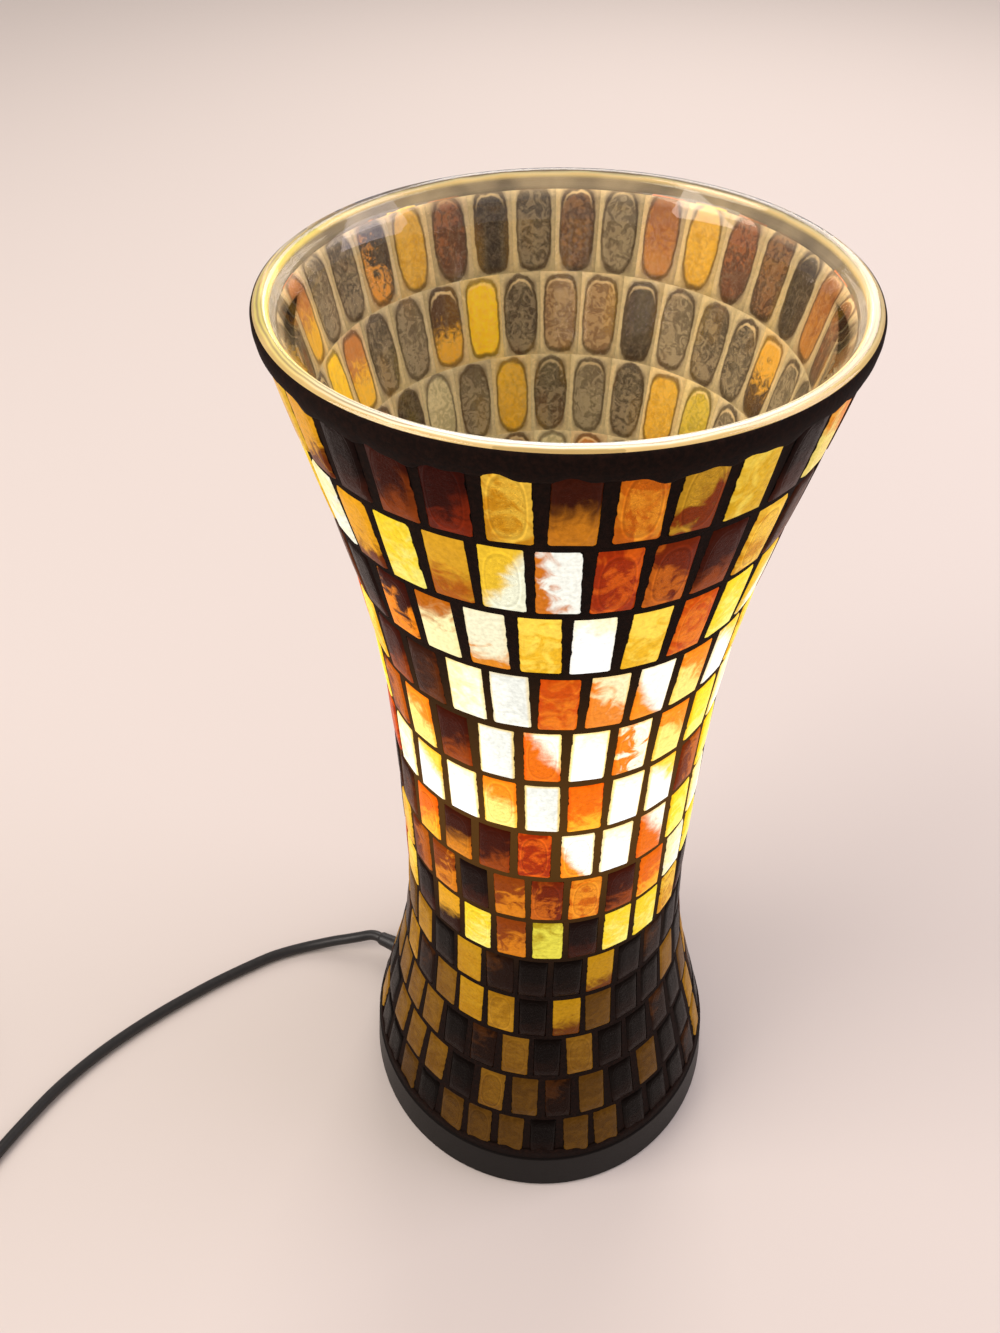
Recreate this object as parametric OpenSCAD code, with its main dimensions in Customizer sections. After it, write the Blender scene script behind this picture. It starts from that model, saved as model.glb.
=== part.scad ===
// Mosaic glass table lamp. Millimetres, +Z up, origin at the middle of the base on the table.
// An hourglass glass vase carries hand-laid tiles in courses. It stands in a moulded ring,
// clamped by a threaded stem that also carries the lampholder.

/* [Vase] */
// Overall height, table to lip
lamp_h = 350; // [320:1:390]
// Diameter over the tiles at the mouth
mouth_d = 141.2; // [130:0.2:160]
// Diameter over the tiles at the waist
waist_d = 100; // [96:0.5:108]
// Height of the waist above the table
waist_z = 175; // [160:1:190]
// How much narrower the vase is just above the base ring than at the mouth
foot_less = 1.2; // [0:0.1:4]
// Thickness of the blown glass wall
glass_t = 3.5; // [3:0.1:4.5]
// Thickness of the glass floor
glass_floor_t = 4.5; // [4:0.1:6]
// Thickness of the rounded lip
lip_t = 3.9; // [3.2:0.1:4.5]

/* [Mosaic] */
// Width of a tile
tile_w = 9.9; // [8:0.1:12]
// Thickness of a tile
tile_t = 2.8; // [2:0.1:3.4]
// Height of the grout joint between two courses
course_joint = 2.1; // [1.6:0.1:3]
// How far the tiles stand proud of the grout
grout_recess = 0.5; // [0.2:0.1:0.8]
// Thickness of the clear bonding film on the glass
film_t = 0.3; // [0.2:0.05:0.5]
// Room between the film and a flat tile, which the curved glass needs
tile_seat = 0.2; // [0.15:0.05:0.3]
// Bare band between the lip and the first course
top_margin = 5; // [4.6:0.1:7]
// Number of courses, which share the wall's height between them
courses = 14; // [12:1:17]

/* [Base] */
// Height of the base ring
ring_h = 22; // [21:0.5:26]
// How far the base ring stands out past the tiles above it
ring_proud = 2.8; // [2.4:0.1:6]
// Height of the deck that the vase stands on
deck_z = 17.5; // [17:0.1:18.5]
// Thickness of that deck
deck_t = 2.5; // [2:0.1:3]
// Thickness of the ring's wall
ring_wall = 3; // [2.5:0.1:4]
// Thickness of the felt gasket under the glass
gasket_t = 1; // [0.5:0.1:1.5]
// Thickness of the base cover
cover_t = 1.4; // [1.2:0.1:1.6]
// Height of the foot pads below the cover
pad_t = 1.4; // [1.2:0.1:1.6]
// Diameter of a foot pad
pad_d = 14; // [10:0.5:16]

/* [Lampholder] */
// Height of the underside of the lampholder
holder_z = 51; // [48:1:60]
// Outside diameter of the lampholder
holder_d = 40; // [38:0.5:44]
// Wall of the lampholder
holder_wall = 2.2; // [1.8:0.1:2.6]
// Diameter of the threaded stem
stem_d = 10; // [10:0.1:11]
// Bore of the stem, for the wires
stem_bore = 6.4; // [6:0.1:7]
// Diameter of the brass sleeve on the stem
sleeve_d = 14; // [13:0.5:18]

/* [Bulb] */
// Diameter of the bulb's globe
globe_d = 60; // [55:1:66]
// Height from the tip contact to the middle of the globe
globe_up = 78; // [74:1:84]
// Diameter over the cap's thread
cap_d = 26.2; // [26:0.05:26.4]
// Pitch of the cap's thread
thread_pitch = 3.6; // [3.4:0.1:3.8]

/* [Cord] */
// Diameter of the cord
cord_d = 4.8; // [4.7:0.1:5.4]
// Height of the cord's axis where it leaves the ring
outlet_z = 8.4; // [8:0.1:9]
// Direction of the cord outlet, degrees round from +X
outlet_az = 157; // [150:1:160]
// Length of the strain relief outside the ring
relief_l = 12; // [11:1:16]
// Mean diameter of the coiled cord
coil_d = 66; // [60:1:72]

/* [Switch and plug] */
// Length of the inline switch
switch_l = 58; // [56:1:64]
// Width of the inline switch
switch_w = 26; // [24:0.5:30]
// Height of the inline switch
switch_h = 18; // [17:0.5:20]
// Length of the rocker
rocker_l = 18; // [16:0.5:20]
// Width of the rocker
rocker_w = 10; // [9:0.5:12]
// How far the rocker tips from one stop to the other, degrees
rocker_tip = 20; // [16:1:22]
// Length of the plug's body
plug_l = 34; // [32:1:38]
// Width of the plug's body
plug_w = 25; // [24:0.5:28]
// Thickness of the plug's body
plug_t = 13.5; // [12:0.5:15]

/* [Hidden] */
$fn = 96;

// Fits and small clearances
slip = 0.05;            // running clearance, on the radius
loose = 0.3;            // open clearance
hair = 0.02;            // parts that only touch
cut = 1;                // how far a cutter runs past a face
foot_d = mouth_d - foot_less;
ring_d = foot_d + 2 * ring_proud;
skin_t = tile_t + tile_seat + film_t;
ring_inner_r = ring_d / 2 - ring_wall - 0.8;

// ---- Outline of the vase over its tiles ----
// Mouth and foot share one bell curve: part of a cosine wave, eased in by a power.
bell_turn = 144;
bell_ease = 1.6;
function bell(u) = (1 - cos(bell_turn * pow(u, bell_ease))) / (1 - cos(bell_turn));
function outline(z) = waist_d / 2 + (z > waist_z
    ? (mouth_d - waist_d) / 2 * bell((z - waist_z) / (lamp_h - waist_z))
    : (foot_d - waist_d) / 2 * bell((waist_z - z) / (waist_z - ring_h)));
function lean(z) = atan(outline(z + 0.5) - outline(z - 0.5));
// The point that lies depth inside the outline, square to it
function inside(z, depth) = [outline(z) - depth * cos(lean(z)), z + depth * sin(lean(z))];
function run(from, to, steps) = [for (i = [0:steps]) from + (to - from) * i / steps];
function arc(centre, r, a0, a1, steps) =
    [for (a = run(a0, a1, steps)) centre + r * [cos(a), sin(a)]];

wall_steps = 36;
mouth_r = mouth_d / 2;
lip_round = 1.5;                    // the fire-polished edge's radius
first_course_z = lamp_h - top_margin;
neck_z = lamp_h - 3.6;              // where the wall turns out into the lip
glass_bottom = deck_z + gasket_t;
glass_foot_r = outline(ring_h) - skin_t;
floor_top = glass_bottom + glass_floor_t;

module shell(from, to, deep, shallow) {
    rotate_extrude() polygon(concat(
        [for (z = run(from, to, wall_steps)) inside(z, shallow)],
        [for (z = run(to, from, wall_steps)) inside(z, deep)]
    ));
}

module glass_vase() {
    bend = 6;
    inner_foot_r = inside(floor_top + bend + 2, skin_t + glass_t)[0];
    hole_r = stem_d / 2 + 1.5;
    color("lightyellow", 0.5) rotate_extrude() polygon(concat(
        [[hole_r, glass_bottom], [glass_foot_r - 1.5, glass_bottom], [glass_foot_r, glass_bottom + 1.5]],
        [for (z = run(ring_h, neck_z, wall_steps)) inside(z, skin_t)],
        arc([mouth_r - lip_round, lamp_h - lip_round], lip_round, 0, 90, 8),
        arc([mouth_r - lip_t + lip_round, lamp_h - lip_round], lip_round, 90, 180, 8),
        [for (z = run(neck_z - 4, floor_top + bend + 2, wall_steps)) inside(z, skin_t + glass_t)],
        arc([inner_foot_r - bend, floor_top + bend], bend, 0, -90, 6),
        [[hole_r, floor_top]]
    ));
}

// ---- Mosaic ----
// The courses share the wall's length, measured along its curve
wall_points = [for (z = run(ring_h, first_course_z, wall_steps)) [outline(z), z]];
wall_run = [for (k = [1:wall_steps]) norm(wall_points[k] - wall_points[k - 1])]
    * [for (k = [1:wall_steps]) 1];
course_pitch = wall_run / courses;
tile_h = course_pitch - course_joint;
// Tops of the courses, stepping down the wall from the first one; the last entry is where they end
course_top = [
    for (i = 0, z = first_course_z; i <= courses;
        z = z - course_pitch * cos(lean(z - tile_h / 2)), i = i + 1) z
];
function course_z(i) = course_top[i] - tile_h / 2 * cos(lean(course_top[i] - tile_h / 2));
// The joint that the tiler left between tiles, course by course, and the angle of each first tile
tile_joint = [2.5, 1.9, 2.1, 1.7, 2.0, 1.7, 2.1, 1.6, 1.7, 1.4, 1.5, 2.0, 2.7, 2.6];
first_tile = [3, 1, -2.8, 2.5, -1.7, -1, -3.2, 1.5, 2.2, -2.7, -2.2, 3.8, -4, 2.9];
function of_course(list, i) = list[i % len(list)];
function tiles_round(i) =
    floor(2 * PI * (outline(course_z(i)) - tile_t / 2) / (tile_w + of_course(tile_joint, i)));

// Glass colours, one letter a tile, from the front middle round to the right:
// k black, b brown, r red, o orange, a amber, y yellow, w pearl
COLOURS = [
    "boaykabkrokrryobrkkryakbokbkakbra",
    "wrrbakbykkakbkrrkyabkaybkrbyayay",
    "ywyoyrbakbkyywkkykwkayroabraw",
    "oowowyrkabykbowakrybakoykbyw",
    "owaawrbykakrybowkayrbyrarw",
    "wowwobkarybkyarokbwykrywwa",
    "rwwowykbarykobawkryakbaab",
    "borawykrbaokybrwakobkyroko",
    "ykyyabkryabokyrbwakyrbkaya",
    "kkybbrkyabkorykbawkrbaabkyb",
    "karbbykrabykobkayrkbwkbabyyy",
    "kakbkbrykaborkybakrwkbaayykra",
    "abakrbkybakorykbakyrbkakbyyyka",
    "kaabkbrykbakorykbakrwbkybakkykryy"
];
function colour_of(i, j) = of_course(of_course(COLOURS, i), j);
// Hand laying: a small seeded turn and shift for each tile
function wobble(i, j, k, most) = rands(-most, most, 3, 1000 * i + j)[k];

// Puts its children at tile j of course i: X across the tile, Y inwards, Z up along the wall
module at_tile(i, j) {
    z = course_z(i);
    rotate([0, 0, of_course(first_tile, i) + 360 * j / tiles_round(i) + wobble(i, j, 0, 0.25)])
        translate([0, -outline(z), z + wobble(i, j, 1, 0.2)])
            rotate([lean(z), 0, 0]) rotate([0, wobble(i, j, 2, 1.2), 0]) children();
}

module tile() {
    translate([-tile_w / 2, 0, -tile_h / 2]) cube([tile_w, tile_t, tile_h]);
}

module tiles(letter) {
    for (i = [0:courses - 1])
        for (j = [0:tiles_round(i) - 1])
            if (colour_of(i, j) == letter) at_tile(i, j) tile();
}

module tiles_black() { color("#1c0d08") tiles("k"); }
module tiles_brown() { color("#4a200c") tiles("b"); }
module tiles_red() { color("#7d2108") tiles("r"); }
module tiles_orange() { color("#d8600f") tiles("o"); }
module tiles_amber() { color("#dd9218") tiles("a"); }
module tiles_yellow() { color("#efc325") tiles("y"); }
module tiles_pearl() { color("#f4ecd2") tiles("w"); }

// The film and the grout end at the bare lip above and on the base ring below.
film_low_z = ring_h + 0.6;
grout_high_z = neck_z - 0.6;
grout_lip = [mouth_r - 0.55, lamp_h - lip_round - 0.3];

module adhesive_film() {
    play = 0.07;                        // the walls are chords, so the film keeps off them
    color("wheat", 0.6) shell(film_low_z, grout_high_z - 1, skin_t - play, skin_t - film_t + play);
}

// One ring of grout round course i, from the middle of the joint below to the middle of the joint above
module grout_course(i) {
    top = i == 0 ? grout_high_z : course_top[i] + course_joint / 2 - hair;
    low = i == courses - 1 ? film_low_z : course_top[i + 1] + course_joint / 2 + hair;
    deep = skin_t - film_t - hair;
    middle = i == 0 || i == courses - 1 ? [inside((top + low) / 2, deep)] : [];
    difference() {
        rotate_extrude() polygon(concat(
            [inside(low, grout_recess), inside(top, grout_recess)], i == 0 ? [grout_lip] : [],
            [inside(top, deep)], middle, [inside(low, deep)]
        ));
        for (j = [0:tiles_round(i) - 1])
            at_tile(i, j) translate([-tile_w / 2, -cut, -tile_h / 2])
                cube([tile_w, tile_t + 2 * cut, tile_h]);
    }
}

module grout() {
    color("#2a1710") for (i = [0:courses - 1]) grout_course(i);
}

// ---- Base ----
chamber_r = ring_inner_r;
deck_low = deck_z - deck_t;
cover_z = pad_t;
cover_top = cover_z + cover_t;
ring_foot_z = 0.6;                      // the ring's edge stays just off the table
boss_r = 4;
boss_at = ring_inner_r - boss_r - 6;
boss_count = 4;
screw_r = 1.45;                         // M3 thread
cover_screw_grip = 8;                   // how far a cover screw goes into its boss
head_r = 2.8;
head_t = 1.1;
stem_r = stem_d / 2;
clamp_at = 44;                          // how far out the cord clamp sits
clamp_l = 24;
clamp_w = 8;
clamp_t = 2.2;
clamp_screw_at = 8;
clamp_top = outlet_z - cord_d / 2;
relief_base_r = cord_d / 2 + 1.3;
relief_tip_r = cord_d / 2 + 0.7;
ring_outlet_r = ring_d / 2 - 1;         // where the outlet's axis passes the ring's outer face

// Puts its children on the cord outlet's axis, X outwards
module at_outlet(x, z) { rotate([0, 0, outlet_az]) translate([x, 0, z]) children(); }
module tube(r_out, r_in, low, high) {
    rotate_extrude() polygon([[r_in, low], [r_out, low], [r_out, high], [r_in, high]]);
}
module rod_out(r, from, to, z) { at_outlet(from, z) rotate([0, 90, 0]) cylinder(r = r, h = to - from); }

module base_ring() {
    seat_r = glass_foot_r + loose;
    out_r = ring_d / 2;
    shoulder = 1.4;
    top_r = foot_d / 2 + 1;
    color("#1b1412") difference() {
        union() {
            rotate_extrude() polygon(concat(
                [[chamber_r, ring_foot_z], [out_r - 0.5, ring_foot_z], [out_r, ring_foot_z + 0.8]],
                arc([top_r - shoulder, ring_h - shoulder], shoulder, 10, 90, 5),
                [[seat_r, ring_h], [seat_r, deck_z], [stem_r + 0.2, deck_z],
                 [stem_r + 0.2, deck_low], [chamber_r, deck_low]]
            ));
            for (i = [0:boss_count - 1])
                rotate([0, 0, outlet_az + 45 + 90 * i]) translate([boss_at, 0, cover_top])
                    cylinder(r = boss_r, h = deck_low - cover_top + hair);
            for (side = [-1, 1])
                at_outlet(clamp_at, clamp_top) translate([0, side * clamp_screw_at, 0])
                    cylinder(r = 3.2, h = deck_low - clamp_top + hair);
            at_outlet(clamp_at - 2, outlet_z + cord_d / 2 + hair) translate([0, -4, 0])
                cube([4, 8, deck_low - outlet_z - cord_d / 2]);
        }
        for (i = [0:boss_count - 1])
            rotate([0, 0, outlet_az + 45 + 90 * i]) translate([boss_at, 0, cover_top - cut])
                cylinder(r = screw_r + hair, h = cover_screw_grip + 1 + cut);
        for (side = [-1, 1])
            at_outlet(clamp_at, clamp_top - cut) translate([0, side * clamp_screw_at, 0])
                cylinder(r = screw_r + hair, h = 8 + cut);
        rod_out(relief_base_r, chamber_r - 2, out_r + 2, outlet_z);
    }
}

module foot_gasket() {
    color("dimgray") tube(glass_foot_r - 2, stem_r + 12, deck_z, glass_bottom);
}

module base_cover() {
    color("#2b2523") difference() {
        translate([0, 0, cover_z]) cylinder(r = chamber_r - loose, h = cover_t);
        for (i = [0:boss_count - 1])
            rotate([0, 0, outlet_az + 45 + 90 * i]) translate([boss_at, 0, cover_z - cut])
                cylinder(r = screw_r + 0.15, h = cover_t + 2 * cut);
    }
}

module cover_screws() {
    color("silver") for (i = [0:boss_count - 1])
        rotate([0, 0, outlet_az + 45 + 90 * i]) translate([boss_at, 0, cover_z - head_t]) {
            cylinder(r = head_r, h = head_t);
            cylinder(r = screw_r, h = head_t + cover_t + cover_screw_grip);
        }
}

module foot_pads() {
    color("#3a3a3a") for (i = [0:boss_count - 1])
        rotate([0, 0, outlet_az + 90 * i]) translate([boss_at, 0, 0]) cylinder(d = pad_d, h = pad_t);
}

module strain_relief() {
    flange_r = relief_base_r + 0.8;
    bore_r = cord_d / 2 + slip;
    flange_at = chamber_r - 0.35;        // just clear of the chamber's round wall
    color("#15110f") at_outlet(0, outlet_z) rotate([0, 90, 0]) rotate_extrude() polygon([
        [bore_r, flange_at - 2], [flange_r, flange_at - 2], [flange_r, flange_at - hair],
        [relief_base_r - hair, flange_at - hair], [relief_base_r - hair, ring_outlet_r + 1],
        [relief_tip_r, relief_tip - 1], [relief_tip_r - 0.5, relief_tip], [bore_r, relief_tip]
    ]);
}

module cord_clamp() {
    color("silver") at_outlet(clamp_at, clamp_top - clamp_t) difference() {
        translate([-clamp_w / 2, -clamp_l / 2, 0]) cube([clamp_w, clamp_l, clamp_t]);
        for (side = [-1, 1]) translate([0, side * clamp_screw_at, -cut]) {
            cylinder(r = screw_r + 0.15, h = clamp_t + 2 * cut);
            cylinder(r = head_r + 0.15, h = head_t + cut);
        }
    }
}

module clamp_screws() {
    color("silver") for (side = [-1, 1])
        at_outlet(clamp_at, clamp_top - clamp_t) translate([0, side * clamp_screw_at, 0]) {
            cylinder(r = head_r, h = head_t);
            cylinder(r = screw_r, h = clamp_t + 6);
        }
}

cord_inner_end = clamp_at - 8;
relief_tip = ring_outlet_r + relief_l;
module inner_cord() {
    color("#15110f") rod_out(cord_d / 2, cord_inner_end, relief_tip, outlet_z);
}

// ---- Stem ----
washer_t = 1.5;
rubber_t = 2;
vase_nut_t = 4;
base_nut_t = 3.5;
rubber_top = floor_top + rubber_t;
washer_top = rubber_top + washer_t;
vase_nut_top = washer_top + vase_nut_t;
base_washer_low = deck_low - washer_t;
base_nut_low = base_washer_low - base_nut_t;
holder_floor_t = 3;
nut_r = 17 / sqrt(3);                   // 17 mm across the flats

module stem_nipple() {
    color("goldenrod") tube(stem_r, stem_bore / 2, base_nut_low - 1, holder_z + holder_floor_t + 2);
}
module stem_sleeve() {
    color("goldenrod") tube(sleeve_d / 2, stem_r + slip, vase_nut_top, holder_z);
}
module hex_nut(low, high) {
    difference() {
        translate([0, 0, low]) cylinder(r = nut_r, h = high - low, $fn = 6);
        translate([0, 0, low - cut]) cylinder(r = stem_r + slip, h = high - low + 2 * cut);
    }
}
module vase_nut() { color("goldenrod") hex_nut(washer_top, vase_nut_top); }
module base_nut() { color("goldenrod") hex_nut(base_nut_low, base_washer_low); }
module rubber_washer() { color("#202020") tube(17, stem_r + slip, floor_top, rubber_top); }
module steel_washers() {
    color("silver") {
        tube(15, stem_r + slip, rubber_top, washer_top);
        tube(13, stem_r + slip, base_washer_low, deck_low);
    }
}

// ---- Lampholder and bulb ----
holder_r = holder_d / 2;
carrier_low = holder_z + 13;
carrier_top = carrier_low + 7;
tip_z = carrier_top + 1.3;              // underside of the bulb's tip contact
cap_r = cap_d / 2;
ridge = 0.9;                            // depth of the cap's thread
cap_low = tip_z + 3.4;
cap_thread_l = 20;
cap_high = cap_low + cap_thread_l;
shell_gap = 0.35;                       // between the cap's crests and the shell
shell_t = 0.7;                          // brass of the thread shell
terminal_at = 10;                       // terminal screws, from the axis
holder_above = 7;                       // lampholder above the cap
holder_top = cap_high + holder_above;
globe_z = tip_z + globe_up;
globe_r = globe_d / 2;

// Radius of a rolled thread at height z, as ridges between a root and a crest
function thread(z, root, crest) = (root + crest) / 2 + (crest - root) / 2 * cos(360 * z / thread_pitch);
thread_steps = 30;

module holder_base() {
    color("#201a18") difference() {
        rotate_extrude() polygon([
            [stem_r + slip, holder_z], [holder_r - 3, holder_z], [holder_r, holder_z + 3],
            [holder_r, carrier_top], [holder_r - holder_wall, carrier_top],
            [holder_r - holder_wall, carrier_low], [holder_r - holder_wall - 1.5, carrier_low],
            [holder_r - holder_wall - 1.5, holder_z + holder_floor_t],
            [stem_r + slip, holder_z + holder_floor_t]
        ]);
    }
}

module holder_carrier() {
    color("white") difference() {
        translate([0, 0, carrier_low])
            cylinder(r = holder_r - holder_wall - slip, h = carrier_top - carrier_low);
        for (side = [-1, 1]) translate([side * terminal_at, 0, carrier_low - cut])
            cylinder(r = screw_r + slip, h = 5 + cut);
    }
}

module thread_shell() {
    inner = cap_r + shell_gap;
    wave = ridge * 0.8;
    floor_ledge = cap_r * 0.45;
    color("goldenrod") rotate_extrude() polygon(concat(
        [[inner - floor_ledge, carrier_top], [inner + wave + shell_t, carrier_top]],
        [for (z = run(carrier_top + shell_t, cap_high, thread_steps))
            [thread(z, inner + shell_t, inner + wave + shell_t), z]],
        [for (z = run(cap_high, carrier_top + shell_t, thread_steps)) [thread(z, inner, inner + wave), z]],
        [[inner - floor_ledge, carrier_top + shell_t]]
    ));
}

module holder_skirt() {
    color("#201a18") rotate_extrude() polygon([
        [cap_r + shell_gap + 1.6, carrier_top + hair], [holder_r, carrier_top + hair],
        [holder_r - 2.5, holder_top - 1.5], [holder_r - 3.5, holder_top],
        [cap_r + shell_gap + 2, holder_top], [cap_r + shell_gap + 1.6, holder_top - 1]
    ]);
}

module centre_contact() {
    color("gold") {
        translate([0, 0, carrier_top]) cylinder(r = 3, h = 0.6);
        translate([0, 0, carrier_top + 0.6]) cylinder(r = 1.8, h = 0.4);
    }
}

module terminal_screws() {
    color("gold") for (side = [-1, 1]) translate([side * terminal_at, 0, carrier_low]) {
        cylinder(r = screw_r, h = 4.5);
        translate([0, 0, -2]) cylinder(r = head_r, h = 2);
    }
}

module bulb_glass() {
    neck_r = cap_r - ridge - 0.5;
    shade_t = 0.8;
    low = cap_high + 1.2;
    join_a = -58;
    outer = concat([[neck_r, low - 6], [neck_r, low + 4]],
                   arc([0, globe_z], globe_r, join_a + 8, 90, 24));
    inner = concat(arc([0, globe_z], globe_r - shade_t, 90, join_a + 8, 24),
                   [[neck_r - shade_t, low + 4], [neck_r - shade_t, low - 6]]);
    color("white", 0.6) rotate_extrude() polygon(concat(outer, inner));
}

module bulb_cap() {
    wall = 0.35;
    color("silver") rotate_extrude() polygon(concat(
        [[6, cap_low], [cap_r - 2, cap_low]],
        [for (z = run(cap_low + 1.5, cap_high - 1, thread_steps)) [thread(z, cap_r - ridge, cap_r), z]],
        [[cap_r - 0.4, cap_high], [cap_r - 0.4, cap_high + 2], [cap_r - 0.4 - wall, cap_high + 2]],
        [for (z = run(cap_high - 1, cap_low + 1.5, thread_steps))
            [thread(z, cap_r - ridge, cap_r) - wall - 0.1, z]],
        [[cap_r - 2.6, cap_low + wall], [6, cap_low + wall]]
    ));
}

insulator_r = 9.5;
insulator_neck_r = 6;
module bulb_insulator() {
    color("#101010") rotate_extrude() polygon([
        [0, tip_z + 1], [4.7, tip_z + 1], [insulator_r, cap_low], [insulator_neck_r, cap_low],
        [insulator_neck_r, cap_low + 1], [0, cap_low + 1]
    ]);
}

module bulb_tip() {
    color("silver") translate([0, 0, tip_z]) cylinder(r = 4.7, h = 1);
}

module filament_mount() {
    color("white", 0.7) rotate_extrude() polygon([
        [0, cap_low + 1], [2.4, cap_low + 1], [2.4, globe_z - globe_r * 0.73],
        [4.5, globe_z - globe_r * 0.53],
        [1.5, globe_z - globe_r * 0.27], [1.5, globe_z + globe_r * 0.2],
        [2.5, globe_z + globe_r * 0.27], [0, globe_z + globe_r * 0.33]
    ]);
}

filament_l = 13;
module filament() {
    spokes = 6;
    color("orange") for (i = [0:spokes - 1]) rotate([0, 0, 360 * i / spokes])
        translate([1.7, 0, globe_z + 2]) rotate([0, 78, 0]) cylinder(d = 1.2, h = filament_l);
}

// ---- Swept round cords and wires ----
// Rings of a tube of diameter d along points, square to the way it runs; aside is never along the route
function unit(v) = v / norm(v);
function heading(p, i) = unit(p[min(i + 1, len(p) - 1)] - p[max(i - 1, 0)]);
function ring_at(p, i, d, sides, aside) =
    let (t = heading(p, i), a = unit(cross(t, aside)), b = cross(a, t))
    [for (k = [0:sides - 1]) p[i] + d / 2 * (a * cos(360 * k / sides) + b * sin(360 * k / sides))];
module sweep(p, d, sides, aside) {
    n = len(p);
    rings = [for (i = [0:n - 1]) each ring_at(p, i, d, sides, aside)];
    walls = [for (i = [0:n - 2], k = [0:sides - 1]) let (m = (k + 1) % sides)
        [i * sides + k, i * sides + m, (i + 1) * sides + m, (i + 1) * sides + k]];
    near = [for (k = [sides - 1:-1:0]) k];
    far = [for (k = [0:sides - 1]) (n - 1) * sides + k];
    polyhedron(points = rings, faces = concat([near], walls, [far]));
}
up = [0, 0, 1];
cord_r = cord_d / 2;

wire_d = 2;
module wire(side) {
    gap = 1.3;
    a = outlet_az;
    aside = side * gap * [sin(a), -cos(a)];
    climb = holder_z + holder_floor_t;
    function out(share, z) = concat((cord_inner_end - 0.3) * share * [cos(a), sin(a)] + aside, [z]);
    sweep([
        out(1, outlet_z), out(0.6, outlet_z - 1.5), out(0.25, outlet_z - 3),
        [0, side * gap, base_nut_low - 1], [0, side * gap, base_nut_low + 2],
        [0, side * gap, climb - 2], [side * 1, side * gap, climb + 2],
        [side * 5, side * gap, climb + 5], [side * 8.6, side * gap, climb + 6.6],
        [side * terminal_at, side * gap, carrier_low - 2 - wire_d / 2 - hair]
    ], wire_d, 8, [0.3, 1, 0.1]);
}
module wire_live() { color("sienna") wire(1); }
module wire_neutral() { color("steelblue") wire(-1); }

// ---- Free cord on the table, the points chosen by hand ----
lay_z = cord_d / 2;
switch_at = [-288, -127, 0];
switch_turn = 14;
cord_in_z = 8;
coil_centre = [-290, -50];
coil_across = 3;                        // turns side by side
coil_up = 2;                            // layers of turns
coil_r = (coil_d + cord_d) / 2;
coil_edge = coil_centre[0] - coil_r - (coil_across - 1) / 2 * cord_d;   // middle of the outermost turn
// The point on the switch's long axis that lies x from its middle
function on_switch(x) = switch_at + [x * cos(switch_turn), x * sin(switch_turn), cord_in_z];
cord_in = switch_l / 2 - 5;             // how far from the middle the cord ends inside the switch
// A point straight out of the outlet, x past the tip of the strain relief
function past_outlet(x) = [cos(outlet_az) * (relief_tip + x), sin(outlet_az) * (relief_tip + x), outlet_z];
cord_route = [
    past_outlet(0.1), past_outlet(2.5), [-82.6, 34, 8.1], [-87.6, 33.3, 7.2], [-93, 32.7, 6],
    [-99.5, 32, 4.7], [-106, 30.9, 3.5], [-112.2, 29.5, 2.7], [-118.6, 27.5, lay_z],
    [-124.7, 25.1, lay_z], [-130.9, 22.1, lay_z], [-142.1, 15.2, lay_z], [-153.2, 7.8, lay_z],
    [-163.8, -0.1, lay_z], [-173.9, -8.2, lay_z], [-183.6, -16.8, lay_z], [-193, -26.1, lay_z],
    [-201.8, -36.2, lay_z], [-209.9, -47.4, lay_z], [-216.9, -59.6, lay_z], [-222.4, -70.2, lay_z],
    [-227, -80.4, lay_z], [-233, -94.6, 3], [-240, -106, 5], [-248, -114.3, 7],
    on_switch(cord_in + 9), on_switch(cord_in)
];
link_route = [
    on_switch(-cord_in), on_switch(-cord_in - 9), [-329, -136.3, 6.6], [-337.7, -134.5, 4.6],
    [-345.3, -130, 3], [-350.9, -123.2, lay_z], [-354, -114.9, lay_z], [-354.4, -105.9, lay_z],
    [-352.1, -97.2, lay_z], [-348.6, -88.8, lay_z], [-344.4, -80.6, lay_z], [-340.1, -72.6, lay_z],
    [-335.8, -64.4, lay_z], [-332.3, -57.4, lay_z], [coil_edge, coil_centre[1], lay_z]
];
tail_route = [
    [coil_edge, coil_centre[1], lay_z + cord_d], [-330.4, -41, 6.9], [-331.2, -31, 6],
    [-332.5, -22, 5.4], [-333.7, -14, 5.6], [-334.5, -7, 6.5], [-334.5, -3, 6.75], [-334.5, 1.95, 6.75]
];

module cord_run() { color("#15110f") sweep(cord_route, cord_d, 10, up); }
module cord_link() { color("#15110f") sweep(link_route, cord_d, 10, up); }
module cord_tail() { color("#15110f") sweep(tail_route, cord_d, 10, up); }

module cord_coil() {
    half = coil_across * cord_d / 2;
    r = coil_r;
    high = coil_up * cord_d;
    corner = cord_r * 0.8;
    color("#15110f") translate([coil_centre[0], coil_centre[1], 0]) rotate_extrude() polygon([
        [r - half, corner], [r - half + corner, 0], [r + half - corner, 0], [r + half, corner],
        [r + half, high - corner], [r + half - corner, high], [r - half + corner, high],
        [r - half, high - corner]
    ]);
}

// A flat tie that goes once round the bundle of turns
module coil_tie() {
    half = coil_across * cord_d / 2 + 0.25;
    r = coil_r;
    high = coil_up * cord_d + 0.1;
    band_t = 1;
    band_w = 5;
    color("#f0efe8") translate([coil_centre[0], coil_centre[1], 0]) rotate([0, 0, -60]) difference() {
        translate([r - half - band_t, -band_w / 2, 0]) cube([2 * (half + band_t), band_w, high + band_t]);
        translate([r - half, -band_w, -cut]) cube([2 * half, 2 * band_w, high + cut]);
    }
}

// ---- Inline switch ----
switch_half = switch_h / 2;
switch_wall = 2;
rocker_z = switch_h - 1.5;              // height of the rocker's pin
pin_r = 1;
rocker_r = rocker_l / 2;

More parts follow.
